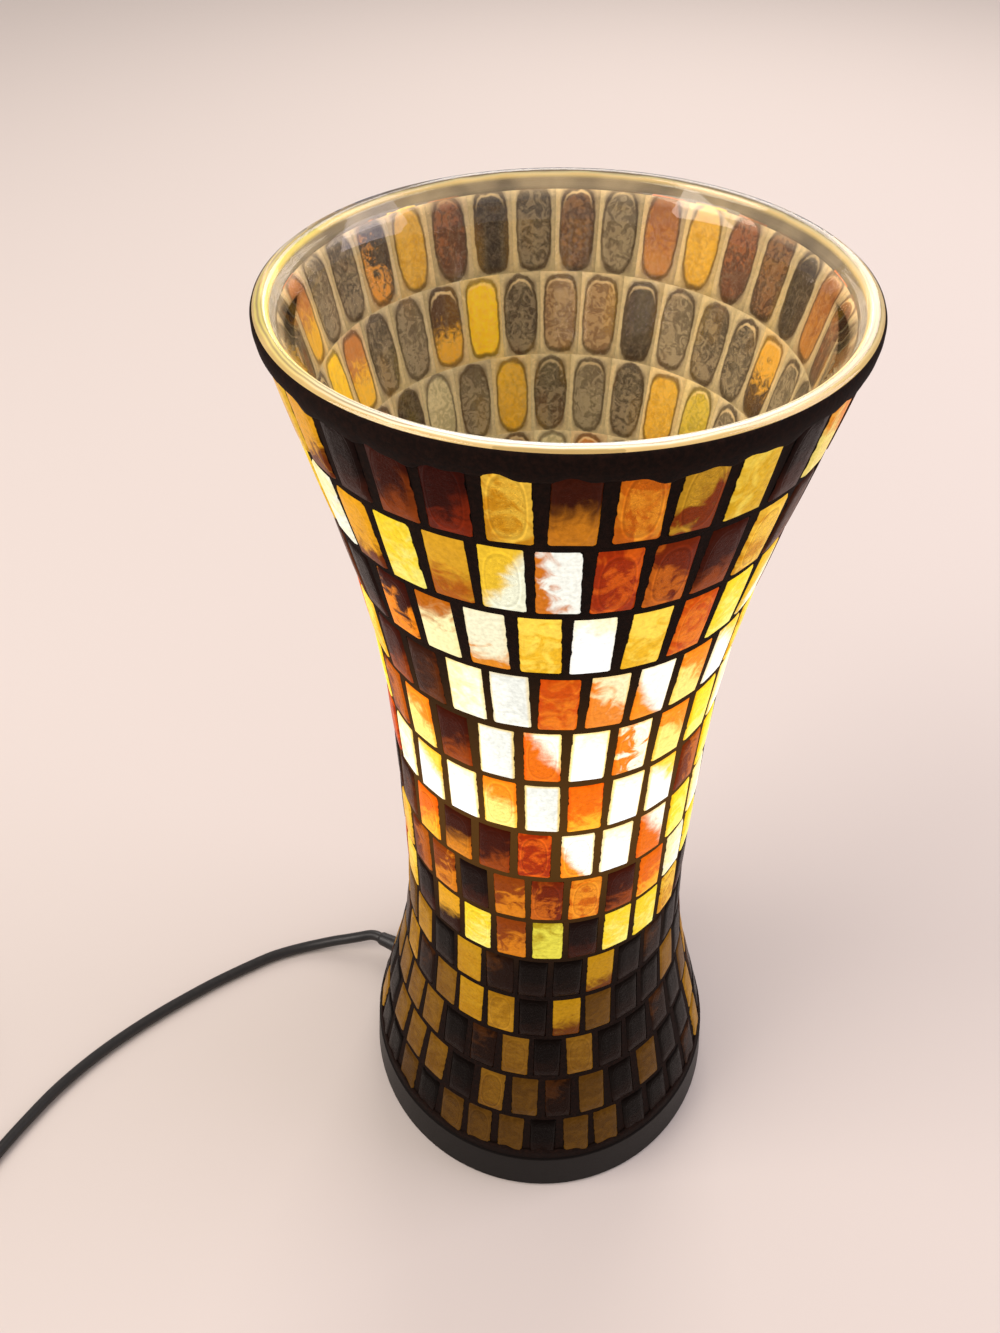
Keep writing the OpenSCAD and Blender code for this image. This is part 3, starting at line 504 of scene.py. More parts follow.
BACK_OF = {
    "black": ["soot", "smoke"], "brown": ["oxblood", "umber"], "red": ["rust", "oxblood"],
    "orange": ["orange", "apricot"], "amber": ["squiggle", "toast_high"], "yellow": ["honey", "olive"],
    "pearl": ["cream"],
}
print("looks from inside:", len(BACKS))

# %% The tiler's pattern at the front
# Course by course from the top: angle round from the front middle and the look of the tile there
FRONT = [
    {-64: "amber", -51: "amber_brown", -41: "soot", -30: "oxblood", -19: "maroon", -8: "amber",
     3: "toast", 14: "squiggle", 25: "diagonal", 36: "honey", 47: "soot", 57: "apricot", 68: "smoke"},
    {-66: "honey", -55: "cream", -44: "amber_brown", -33: "lemon", -20: "amber_low", -8.5: "streak",
     2: "patch", 12: "ember", 24: "crimson", 35: "oxblood", 45: "amber", 56: "smoke", 68: "soot"},
    {-66: "smoke", -54: "soot", -41: "flame", -28.5: "sunrise", -15.5: "sunset", -2.5: "honey", 10: "hot",
     22: "honey", 34: "tangerine", 46: "lemon", 58: "streak", 70: "oxblood"},
    {-62: "honey", -49: "oxblood", -36: "smoke", -23: "cream", -10: "pearl_grey", 3: "tangerine",
     15: "melon", 28: "corner", 38.5: "apricot", 52: "edged", 65: "honey"},
    {-70: "lemon", -57: "rust", -44: "apricot", -29: "oxblood", -15.5: "pearl_grey", -1.5: "orange_white",
     12: "hot", 26: "marble", 40: "apricot", 54: "lemon", 68: "cream"},
    {-57: "cream", -45: "edged", -30: "hot", -15: "apricot", -1: "pearl_grey", 13: "orange", 26: "hot",
     40: "edged", 55: "rust", 68: "lemon"},
    {-60: "smoke", -46: "orange", -33: "toast", -18: "oxblood", -4: "ember", 12: "corner", 26: "hot",
     40: "orange_white", 54: "lemon", 68: "cream"},
    {-66: "amber", -54: "rust", -41: "burnt", -27: "soot", -13: "burnt", 2: "crimson", 16: "squiggle",
     30: "oxblood", 43: "orange", 57: "cream", 70: "lemon"},
    {-67: "honey", -54: "soot", -40: "toast_high", -25: "lemon", -12: "burnt", 2: "olive", 16: "soot",
     30: "lemon", 44: "lemon", 58: "amber", 71: "soot"},
    {-70: "bark", -56: "ochre", -43: "pitch", -30: "bright_ochre", -16: "umber", -3: "pitch", 11: "pitch",
     24: "low_ochre", 37: "pitch", 51: "umber", 64: "pitch"},
    {-66: "ochre", -54: "umber", -41: "dim_ochre", -28: "bright_ochre", -15: "ochre", -2: "pitch",
     11: "low_ochre", 24: "bark", 37: "pitch", 49: "pitch", 62: "dim_ochre"},
    {-71: "dim_ochre", -58: "dim_ochre", -46: "dim_ochre", -33: "pitch", -21: "umber", -8: "dim_ochre",
     4: "pitch", 16: "dim_ochre", 29: "pitch", 41: "pitch", 54: "umber", 66: "pitch"},
    {-64: "dim_ochre", -52: "dim_ochre", -40: "dim_ochre", -28: "pitch", -16: "dim_ochre", -4: "bark",
     8: "umber", 20: "bark", 32: "pitch", 44: "bark", 56: "pitch"},
    {-63: "pitch", -52: "bark", -41: "pitch", -30: "bark", -19: "bark", -8: "bark", 3: "pitch",
     14: "bark", 25: "bark", 36: "pitch", 46: "pitch", 57: "pitch"},
]
print("tiles placed at the front:", sum(len(course) for course in FRONT))

# %% The far side of the top three courses, seen through the mouth
# Angle round from the front middle and the look of the tile's back there
FAR = [
    {101: "orange", 112: "soot", 123: "oxblood", 134: "rust", 145: "honey", 156: "orange", 167: "umber",
     177: "oxblood", 188: "smoke", 199: "soot", 210: "rust", 221: "honey", 232: "flame", 243: "smoke",
     254: "umber"},
    {102: "umber", 114: "toast_high", 125: "smoke", 136: "smoke", 147: "umber", 158: "soot",
     170: "squiggle", 181: "squiggle", 192: "smoke", 203: "lemon", 215: "toast", 226: "umber",
     237: "smoke", 249: "apricot", 260: "lemon"},
    {121: "umber", 134: "olive", 146: "honey", 158: "smoke", 171: "umber", 183: "smoke", 196: "honey",
     208: "umber", 221: "cream", 233: "soot"},
]
print("tiles placed at the far side:", sum(len(course) for course in FAR))

# %% Looks by kind of glass
# Where no look is placed, a tile's look comes from its glass
OF_KIND = {
    "black": ["soot", "soot", "smoke"],
    "brown": ["oxblood", "smoke", "rust", "toast"],
    "red": ["ember", "crimson", "oxblood"],
    "orange": ["orange", "burnt", "flame", "squiggle"],
    "amber": ["amber", "apricot", "amber_brown", "toast_high"],
    "yellow": ["honey", "lemon", "streak"],
    "pearl": ["cream", "edged", "marble", "hot"],
}
# Below LOW_COURSE little of the bulb's light comes through, so each glass takes a darker look there:
# painted shade
LOW_KIND = {
    "black": ["pitch"], "brown": ["umber", "pitch"], "red": ["umber", "bark"],
    "orange": ["bark", "dim_ochre"], "amber": ["dim_ochre", "ochre"],
    "yellow": ["dim_ochre", "ochre"], "pearl": ["low_ochre"],
}
print("kinds of glass:", len(OF_KIND))

# %% Light and print
# How much light comes through each course, from the rim down: the middle courses take the most
GLOW = [0.84, 0.98, 1.10, 1.2, 1.3, 1.3, 1.25, 1.1, 1.0, 0.95, 0.86, 0.78, 0.7, 0.62]
LOW_COURSE = 9
# Looks of the sheets that took a deep print of the trowel, and of those that took almost none. A
# tile's chance says how deep its print is.
EMBOSSED = ["amber", "squiggle", "ember", "crimson", "diagonal"]
SMOOTH = ["pearl_grey", "hot", "edged", "cream"]
LEAST_EMBOSSED, MOST_SMOOTH = 0.78, 0.3
print("brightest course, from the rim down:", GLOW.index(max(GLOW)) + 1)

# %% A look for every tile
NEAR_ENOUGH = 5.6  # degrees from a placed look, about half a tile
PATTERN_SEED = 7

rng = random.Random(PATTERN_SEED)
by_hand = 0
for tile in tiles:
    course, azimuth = tile["course"], tile["azimuth"]
    placed = {a: look for a, look in FRONT[course].items()}
    if course < len(FAR):
        placed.update({a if a < 180 else a - 360: look for a, look in FAR[course].items()})
    nearest = min(placed, key=lambda a: abs(a - azimuth))
    by_kind = LOW_KIND if course >= LOW_COURSE else OF_KIND
    drawn = rng.choice(by_kind[tile["kind"]])
    close = abs(nearest - azimuth) < NEAR_ENOUGH
    by_hand += close
    tile["look"] = placed[nearest] if close else drawn
    behind = rng.choice(BACK_OF[tile["kind"]])
    tile["back"] = tile["look"] if close and tile["look"] in BACKS else behind
    tile["chance"] = rng.random()
    if tile["look"] in EMBOSSED:
        tile["chance"] = LEAST_EMBOSSED + (1 - LEAST_EMBOSSED) * tile["chance"]
    if tile["look"] in SMOOTH:
        tile["chance"] *= MOST_SMOOTH
    tile["glow"] = GLOW[course]
print("tiles with a look given by hand:", by_hand, "drawn by their glass:", len(tiles) - by_hand)

# %% [markdown]
# ## Laying the tiles with Geometry Nodes
#
# Nearly four hundred tiles repeat one pressed shape, so Geometry Nodes lay them: each point
# carries its turn and the looks of its tile, one unit shape is instanced on every point, scaled
# to the tile's size less a small random share, because no two were cut alike, and the result
# is realised as a plain mesh.

# %% The laying tree
SIZE_SEED = 5


def laying_tree():
    """Geometry Nodes that lay one shape on every point, turned and sized as the points say."""
    tree = bpy.data.node_groups.new("lay on points", "GeometryNodeTree")
    face = tree.interface
    face.new_socket("Geometry", in_out="INPUT", socket_type="NodeSocketGeometry")
    face.new_socket("Shape", in_out="INPUT", socket_type="NodeSocketObject")
    for size in ("Width", "Height", "Thickness", "Size spread"):
        face.new_socket(size, in_out="INPUT", socket_type="NodeSocketFloat")
    face.new_socket("Glass", in_out="INPUT", socket_type="NodeSocketMaterial")
    face.new_socket("Geometry", in_out="OUTPUT", socket_type="NodeSocketGeometry")
    given = add(tree, "NodeGroupInput")
    shape = add(tree, "GeometryNodeObjectInfo", {"Object": given.outputs["Shape"]})
    turn = add(tree, "GeometryNodeInputNamedAttribute", {"Name": "turn"}, data_type="FLOAT_VECTOR")
    size = add(tree, "ShaderNodeCombineXYZ", {"X": given.outputs["Width"],
                                              "Y": given.outputs["Thickness"],
                                              "Z": given.outputs["Height"]})
    least = add(tree, "ShaderNodeMath", {0: 1.0, 1: given.outputs["Size spread"]},
                operation="SUBTRACT")
    spread = add(tree, "FunctionNodeRandomValue", {"Seed": SIZE_SEED}, data_type="FLOAT_VECTOR")
    tree.links.new(least.outputs[0], spread.inputs["Min"])
    spread.inputs["Max"].default_value = (1, 1, 1)
    spread_size = add(tree, "ShaderNodeVectorMath", {0: size.outputs[0], 1: spread.outputs["Value"]},
                      operation="MULTIPLY")
    points = add(tree, "GeometryNodeMeshToPoints", {"Mesh": given.outputs["Geometry"]})
    laid = add(tree, "GeometryNodeInstanceOnPoints", {
        "Points": points.outputs[0], "Instance": shape.outputs["Geometry"],
        "Rotation": turn.outputs["Attribute"], "Scale": spread_size.outputs["Vector"]})
    real = add(tree, "GeometryNodeRealizeInstances", {"Geometry": laid.outputs[0]})
    glazed = add(tree, "GeometryNodeSetMaterial", {"Geometry": real.outputs[0],
                                                   "Material": given.outputs["Glass"]})
    add(tree, "NodeGroupOutput", {"Geometry": glazed.outputs[0]})
    return tree


LAYING = laying_tree()


def carry(mesh, places, domain, looks, more=()):
    """Writes the looks of the tiles into the mesh, one value a point or face, for the materials."""
    carried = dict(more, **{
        "first": ("FLOAT_COLOR", "color", [linear(look[0]) for look in looks]),
        "second": ("FLOAT_COLOR", "color", [linear(look[1]) for look in looks]),
        "growth": ("FLOAT_VECTOR", "vector", [(*look[2], look[3]) for look in looks]),
        "reach": ("FLOAT", "value", [(look[4],) for look in looks]),
        "glow": ("FLOAT", "value", [(t["glow"],) for t in places]),
        "chance": ("FLOAT", "value", [(t["chance"],) for t in places]),
    })
    for label, (sort, field, values) in carried.items():
        layer = mesh.attributes.new(label, sort, domain)
        layer.data.foreach_set(field, [number for value in values for number in value])


def lay(name, shape, places, glass, width, height, thickness, spread=0.0):
    """Lays the unit shape on the given tiles' places and returns a plain mesh object."""
    dots = bpy.data.meshes.new(name + " dots")
    dots.from_pydata([t["middle"] for t in places], [], [])
    frames = [Matrix((t["across"], -t["out"], t["up"])).transposed() for t in places]
    carry(dots, places, "POINT", [LOOKS[t["look"]] for t in places],
          {"turn": ("FLOAT_VECTOR", "vector", [tuple(f.to_euler()) for f in frames])})
    holder = bpy.data.objects.new(name + " dots", dots)
    scene.collection.objects.link(holder)
    maker = holder.modifiers.new("laying", "NODES")
    maker.node_group = LAYING
    given = {"Shape": shape, "Width": width * MM, "Height": height * MM,
             "Thickness": thickness * MM, "Size spread": spread, "Glass": glass}
    for item in LAYING.interface.items_tree:
        if item.in_out == "INPUT" and item.name in given:
            maker[item.identifier] = given[item.name]
    evaluated = holder.evaluated_get(bpy.context.evaluated_depsgraph_get())
    done = bpy.data.meshes.new_from_object(evaluated)
    done.name = name
    bpy.data.objects.remove(holder)
    piece = bpy.data.objects.new(name, done)
    scene.collection.objects.link(piece)
    return piece


print("inputs of the laying tree:",
      [item.name for item in LAYING.interface.items_tree if item.in_out == "INPUT"])

# %% [markdown]
# ## Shape of one tile
#
# A tile is nipped from a rolled sheet: a flat back, square sides, and a face that swells a little
# and drops at its edges. A bevelled cube would do, but a small grid bent into a pillow gives the
# soft edge with few faces, and carries the coordinates that the streaks are drawn in.

# %% Unit shape of a tile


def pillow(name, edge, crown, corner):
    """A unit block whose front is a soft pillow: X across, Y inwards, Z up, each from -0.5 to 0.5.
    Edge is how far the front drops at its rim, crown the swell of its middle and corner how much
    the corners are cut back, all as shares of the unit."""
    shape = bmesh.new()
    uv = shape.loops.layers.uv.new("tile")
    front, back = {}, {}
    xs = [-0.5, -0.42, -0.2, 0.2, 0.42, 0.5]
    zs = [-0.5, -0.46, -0.3, 0, 0.3, 0.46, 0.5]
    for i, x in enumerate(xs):
        for k, z in enumerate(zs):
            rim = (abs(x) == 0.5) + (abs(z) == 0.5)
            pull, pull_up = 1 - corner * (rim == 2), 1 - corner * 0.45 * (rim == 2)
            drop = edge if rim else crown * (x * x + z * z) * 2
            front[i, k] = shape.verts.new((x * pull, -0.5 + drop, z * pull_up))
            if rim:
                back[i, k] = shape.verts.new((x * pull, 0.5, z * pull_up))
    last_x, last_z = len(xs) - 1, len(zs) - 1
    for i in range(last_x):
        for k in range(last_z):
            corners = [(i, k), (i + 1, k), (i + 1, k + 1), (i, k + 1)]
            made = shape.faces.new([front[c] for c in corners])
            made.smooth = True
            for loop, c in zip(made.loops, corners):
                loop[uv].uv = (xs[c[0]] + 0.5, zs[c[1]] + 0.5)
    ring = [(i, 0) for i in range(last_x)] + [(last_x, k) for k in range(last_z)]
    ring += [(i, last_z) for i in range(last_x, 0, -1)] + [(0, k) for k in range(last_z, 0, -1)]
    for a, b in zip(ring, ring[1:] + ring[:1]):
        side = shape.faces.new((front[b], front[a], back[a], back[b]))
        for loop, c in zip(side.loops, (b, a, a, b)):
            loop[uv].uv = (xs[c[0]] + 0.5, zs[c[1]] + 0.5)
    bottom = shape.faces.new([back[c] for c in ring])
    for loop, c in zip(bottom.loops, ring):
        loop[uv].uv = (xs[c[0]] + 0.5, zs[c[1]] + 0.5)
    bmesh.ops.recalc_face_normals(shape, faces=shape.faces)
    return into_piece(shape, name)


unit_tile = pillow("unit tile", edge=0.28, crown=0.1, corner=0.05)
print("faces a tile:", len(unit_tile.data.polygons))

# %% [markdown]
# ## Stained glass
#
# Each tile is hand-cut from a rolled sheet of soda-lime glass with metal oxides in it: glossy,
# a little wavy, and lit from behind. A real volume of coloured glass would be slow and grainy,
# so the light that comes through is given as emission, with the streaks drawn in the tile's own
# coordinates. Some tiles carry the raised oval of the glue that was pressed behind them.

# %% Helpers for patterns on a tile
TILE_SHIFT = 190  # millimetres of streaks between the tile with chance 0 and the one with 1


def material(name):
    """A new material with its tree and its one Principled shader."""
    made = bpy.data.materials.new(name)
    made.use_nodes = True
    return made, made.node_tree, made.node_tree.nodes["Principled BSDF"]


def tile_streaks(tree, width, height, wave):
    """Colour of a tile's streaks, then its flat coordinates from -0.5 to 0.5, a place in
    millimetres that differs from tile to tile, and the tile's chance. Wave is the streaks' size
    in millimetres."""
    uv = add(tree, "ShaderNodeUVMap", uv_map="tile")
    flat = add(tree, "ShaderNodeVectorMath", {0: uv.outputs[0], 1: (-0.5, -0.5, 0)}, operation="ADD")
    at = add(tree, "ShaderNodeVectorMath", {0: flat.outputs[0], 1: (width, height, 0)},
             operation="MULTIPLY")
    chance = add(tree, "ShaderNodeAttribute", attribute_name="chance")
    shift = add(tree, "ShaderNodeMath", {0: chance.outputs["Fac"], 1: TILE_SHIFT},
                operation="MULTIPLY").outputs[0]
    apart = add(tree, "ShaderNodeCombineXYZ", {"X": shift, "Y": shift, "Z": shift})
    place = add(tree, "ShaderNodeVectorMath", {0: at.outputs[0], 1: apart.outputs[0]}, operation="ADD")
    clouds = add(tree, "ShaderNodeTexNoise", {"Vector": place.outputs[0], "Scale": 1 / wave,
                                              "Detail": 3.0, "Roughness": 0.55, "Distortion": 1.4})
    growth = add(tree, "ShaderNodeAttribute", attribute_name="growth")
    reach = add(tree, "ShaderNodeAttribute", attribute_name="reach")
    way = add(tree, "ShaderNodeSeparateXYZ", {0: growth.outputs["Vector"]})
    along = add(tree, "ShaderNodeVectorMath", {0: flat.outputs[0], 1: growth.outputs["Vector"]},
                operation="DOT_PRODUCT")
    cloud = add(tree, "ShaderNodeMath", {0: clouds.outputs["Fac"], 1: -0.5}, operation="ADD")
    stir = add(tree, "ShaderNodeMath", {0: cloud.outputs[0], 1: way.outputs["Z"]}, operation="MULTIPLY")
    tilt = add(tree, "ShaderNodeMath", {0: along.outputs["Value"], 1: stir.outputs[0]}, operation="ADD")
    level = add(tree, "ShaderNodeMath", {0: tilt.outputs[0], 1: reach.outputs["Fac"]}, operation="ADD")
    share = add(tree, "ShaderNodeMapRange", {"Value": level.outputs[0], "From Min": 0.3,
                                             "From Max": 0.7}, interpolation_type="SMOOTHSTEP")
    one = add(tree, "ShaderNodeAttribute", attribute_name="first")
    two = add(tree, "ShaderNodeAttribute", attribute_name="second")
    streaks = add(tree, "ShaderNodeMix", {0: share.outputs[0], 6: one.outputs["Color"],
                                          7: two.outputs["Color"]}, data_type="RGBA")
    return streaks.outputs[2], flat.outputs[0], place.outputs[0], chance.outputs["Fac"]


def oval(tree, flat, half_width, half_height, power=2.6):
    """Distance from the tile's middle, measured so that the edge of a rounded form of that half
    width and height, as shares of the tile's, is at 1. A power of 2 gives an ellipse and a high
    one a rectangle."""
    share = add(tree, "ShaderNodeVectorMath", {0: flat, 1: (1 / half_width, 1 / half_height, 0)},
                operation="MULTIPLY")
    parts = add(tree, "ShaderNodeSeparateXYZ", {0: share.outputs[0]})
    total = []
    for side in (0, 1):
        plain = add(tree, "ShaderNodeMath", {0: parts.outputs[side]}, operation="ABSOLUTE")
        raised = add(tree, "ShaderNodeMath", {0: plain.outputs[0], 1: power}, operation="POWER")
        total.append(raised.outputs[0])
    both = add(tree, "ShaderNodeMath", {0: total[0], 1: total[1]}, operation="ADD")
    return add(tree, "ShaderNodeMath", {0: both.outputs[0], 1: 1 / power}, operation="POWER").outputs[0]


def edge_gap(tree, flat):
    """Distance from the tile's nearest edge, in millimetres."""
    away = add(tree, "ShaderNodeVectorMath", {0: flat}, operation="ABSOLUTE")
    left = add(tree, "ShaderNodeVectorMath", {0: away.outputs[0], 1: (-TILE_W, -TILE_H, 0),
                                              2: (TILE_W / 2, TILE_H / 2, 0)},
               operation="MULTIPLY_ADD")
    gaps = add(tree, "ShaderNodeSeparateXYZ", {0: left.outputs[0]})
    return add(tree, "ShaderNodeMath", {0: gaps.outputs["X"], 1: gaps.outputs["Y"], 2: 0.5},
               operation="SMOOTH_MIN").outputs[0]


# %% Stained glass, lit from behind
OVAL_REACH = 1.2  # the curves across an oval go this far out, where its edge is at 1


def stained_glass(name):
    """Streaky glass whose colour, light and relief come from each tile's own looks."""
    made, tree, face = material(name)
    streaks, flat, place, chance = tile_streaks(tree, TILE_W, TILE_H, wave=7.0)
    glow = add(tree, "ShaderNodeAttribute", attribute_name="glow")
    # The rim of a hot tile is yellow: light leaks round the glue there
    gap = edge_gap(tree, flat)
    edge = add(tree, "ShaderNodeMapRange", {"Value": gap, "From Min": 0.35, "From Max": 0.95,
                                            "To Min": 1.0, "To Max": 0.0})
    hot = add(tree, "ShaderNodeMapRange", {"Value": glow.outputs["Fac"], "From Min": 1.05,
                                           "From Max": 1.3, "To Max": 0.75})
    leak = add(tree, "ShaderNodeMath", {0: edge.outputs[0], 1: hot.outputs[0]}, operation="MULTIPLY")
    pale = add(tree, "ShaderNodeMix", {0: leak.outputs[0], 6: streaks, 7: linear("#ffd23c")},
               data_type="RGBA", blend_type="MULTIPLY")
    # Fine cords and seeds in the glass, about 1 mm apart
    seeds = add(tree, "ShaderNodeTexNoise", {"Vector": place, "Scale": 0.9, "Detail": 4.0})
    mottle = add(tree, "ShaderNodeMapRange", {"Value": seeds.outputs["Fac"], "From Min": 0.3,
                                              "From Max": 0.7, "To Min": 0.82, "To Max": 1.12})
    # The pressed oval of glue and the trowel's scribble within it are drawn as painted highlight and
    # shade in the tile's light: a bright line with a dark one inside it, strongly on a third of the tiles
    ring = oval(tree, flat, 0.41, 0.44)
    out = add(tree, "ShaderNodeMath", {0: ring, 1: 1 / OVAL_REACH}, operation="MULTIPLY")
    line = add(tree, "ShaderNodeFloatCurve", {"Value": out.outputs[0]}, stops=[
        (at / OVAL_REACH, lit)
        for at, lit in ((0.8, 0.5), (0.88, 0.2), (0.94, 0.5), (0.99, 1.0), (1.06, 0.5))])
    squirm = add(tree, "ShaderNodeTexNoise", {"Vector": place, "Scale": 0.5, "Detail": 1.5,
                                              "Distortion": 2.4})
    curl = add(tree, "ShaderNodeFloatCurve", {"Value": squirm.outputs["Fac"]}, stops=[
        (0.44, 0.5), (0.47, 0.1), (0.5, 0.55), (0.53, 1.0), (0.57, 0.5)])
    within = add(tree, "ShaderNodeMath", {0: ring, 1: 0.84}, operation="LESS_THAN")
    relief = add(tree, "ShaderNodeMix", {0: within.outputs[0], 2: line.outputs[0], 3: curl.outputs[0]})
    pressed = add(tree, "ShaderNodeFloatCurve", {"Value": chance}, stops=[
        (0.0, 0.06), (0.3, 0.1), (0.5, 0.45), (0.62, 0.1), (0.8, 0.5), (1.0, 0.7)])
    # Painted highlight and shade of the pressed relief, which scale the tile's light
    relief_highlight_and_shade = add(tree, "ShaderNodeMath", {0: relief.outputs[0], 1: -0.5}, operation="ADD")
    relief_highlight_and_shade = add(tree, "ShaderNodeMath", {0: relief_highlight_and_shade.outputs[0], 1: pressed.outputs[0], 2: 1.0},
               operation="MULTIPLY_ADD")
    light = add(tree, "ShaderNodeMath", {0: glow.outputs["Fac"], 1: mottle.outputs[0]},
                operation="MULTIPLY")
    light = add(tree, "ShaderNodeMath", {0: light.outputs[0], 1: relief_highlight_and_shade.outputs[0]},
                operation="MULTIPLY")
    # Grout was wiped over the tile's edge here and there, up to 0.5 mm wide
    ragged = add(tree, "ShaderNodeTexNoise", {"Vector": place, "Scale": 0.35, "Detail": 3.0})
    smeared = add(tree, "ShaderNodeMath", {0: ragged.outputs["Fac"], 1: -0.9, 2: gap},
                  operation="MULTIPLY_ADD")
    bare = add(tree, "ShaderNodeMapRange", {"Value": smeared.outputs[0], "From Min": -0.41,
                                            "From Max": -0.29})
    light = add(tree, "ShaderNodeMath", {0: light.outputs[0], 1: bare.outputs[0]},
                operation="MULTIPLY")
    shown = add(tree, "ShaderNodeVectorMath", {0: pale.outputs[2], 3: light.outputs[0]},
                operation="SCALE")
    share = add(tree, "ShaderNodeMath", {0: bare.outputs[0], 1: 0.12}, operation="MULTIPLY")
    own = add(tree, "ShaderNodeVectorMath", {0: pale.outputs[2], 3: share.outputs[0]},
              operation="SCALE")
    tree.links.new(own.outputs[0], face.inputs["Base Color"])
    tree.links.new(shown.outputs[0], face.inputs["Emission Color"])
    face.inputs["Emission Strength"].default_value = 0.95
    face.inputs["IOR"].default_value = 1.5
    face.inputs["Specular IOR Level"].default_value = 0.03
    wavy = add(tree, "ShaderNodeMapRange", {"Value": seeds.outputs["Fac"], "To Min": 0.2,
                                            "To Max": 0.4})
    tree.links.new(wavy.outputs[0], face.inputs["Roughness"])
    height = add(tree, "ShaderNodeMath", {0: relief.outputs[0], 1: 0.7, 2: seeds.outputs["Fac"]},
                 operation="MULTIPLY_ADD")
    bump = add(tree, "ShaderNodeBump", {"Strength": 0.5, "Distance": 0.25 * MM,
                                        "Height": height.outputs[0]})
    tree.links.new(bump.outputs[0], face.inputs["Normal"])
    return made


# The tiles are laid a little larger than the frame's blocks and made smaller again at random
SIZE_SPREAD, SPARE_W, SPARE_H = 0.012, 0.1, 0.6
STAINED = stained_glass("stained soda-lime glass")
for kind in GLASS_KINDS:
    ours = [t for t in tiles if t["kind"] == kind]
    piece = lay("mosaic_" + kind, unit_tile, ours, STAINED, TILE_W + SPARE_W, TILE_H + SPARE_H,
                TILE_T, spread=SIZE_SPREAD)
    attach(piece, "lamp")
    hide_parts("tiles_" + kind)
    print(piece.name, len(ours), "tiles,", len(piece.data.polygons), "faces")

# %% [markdown]
# ## Glue behind the tiles
#
# Through the glass wall the mosaic shows its back: beige adhesive in the joints, a thinner smear
# of it behind each tile, and in that the oval where the glue was squeezed clear and the tile's
# own colour comes through. The bed is one thin skin between glass and grout. Separate ovals in
# front of it would need a gap that isn't there, so the skin is cut into one patch a tile, each
# patch carries its tile's looks and the tile's coordinates, and the material draws the rest.

# %% Bed of glue, one patch a tile
BED_LOW, BED_HIGH = RING_H + 0.6, NECK_Z - 1.6
BED_SET, BED_T = 0.1, 0.1 * MM
PATCH_WIDE, PATCH_HIGH = 4, 8


def bed_patches():
    """The bed of glue as one patch for each tile, with the tile's coordinates and looks."""
    shape = bmesh.new()
    uv = shape.loops.layers.uv.new("tile")
    owners = []
    middles = sorted({round(level / MM, 2) for level in levels}, reverse=True)
    for course, middle_z in enumerate(middles):
        high = BED_HIGH if course == 0 else (middles[course - 1] + middle_z) / 2
        low = BED_LOW if course == len(middles) - 1 else (middles[course + 1] + middle_z) / 2
        row = sorted((t for t in tiles if t["course"] == course), key=lambda t: t["azimuth"])
        for k, tile in enumerate(row):
            before = row[k - 1]["azimuth"] - (360 if k == 0 else 0)
            after = row[(k + 1) % len(row)]["azimuth"] + (360 if k == len(row) - 1 else 0)
            left, right_side = (before + tile["azimuth"]) / 2, (after + tile["azimuth"]) / 2
            z_mid = tile["middle"].z / MM
            grid = {}
            for i in range(PATCH_WIDE + 1):
                for n in range(PATCH_HIGH + 1):
                    a = math.radians(left + (right_side - left) * i / PATCH_WIDE)
                    z0 = low + (high - low) * n / PATCH_HIGH
                    r, z = inside(z0, SKIN_T - BED_SET)
                    across = (a - math.radians(tile["azimuth"])) * outline(z_mid) / TILE_W + 0.5
                    along = (z0 - z_mid) / math.cos(lean_at(z_mid)) / TILE_H + 0.5
                    dot = shape.verts.new((r * math.sin(a) * MM, -r * math.cos(a) * MM, z * MM))
                    grid[i, n] = (dot, (across, along))
            for i in range(PATCH_WIDE):
                for n in range(PATCH_HIGH):
                    corners = [grid[c] for c in ((i, n), (i, n + 1), (i + 1, n + 1), (i + 1, n))]
                    made = shape.faces.new([c[0] for c in corners])
                    made.smooth = True
                    for loop, c in zip(made.loops, corners):
                        loop[uv].uv = c[1]
                    owners.append(tile)
    piece = into_piece(shape, "glue_bed")
    carry(piece.data, owners, "FACE", [BACKS[t["back"]] for t in owners])
    scene.collection.objects.link(piece)
    return piece


bed = bed_patches()
print("faces in the bed:", len(bed.data.polygons))

# %% Adhesive with the tiles' backs in it


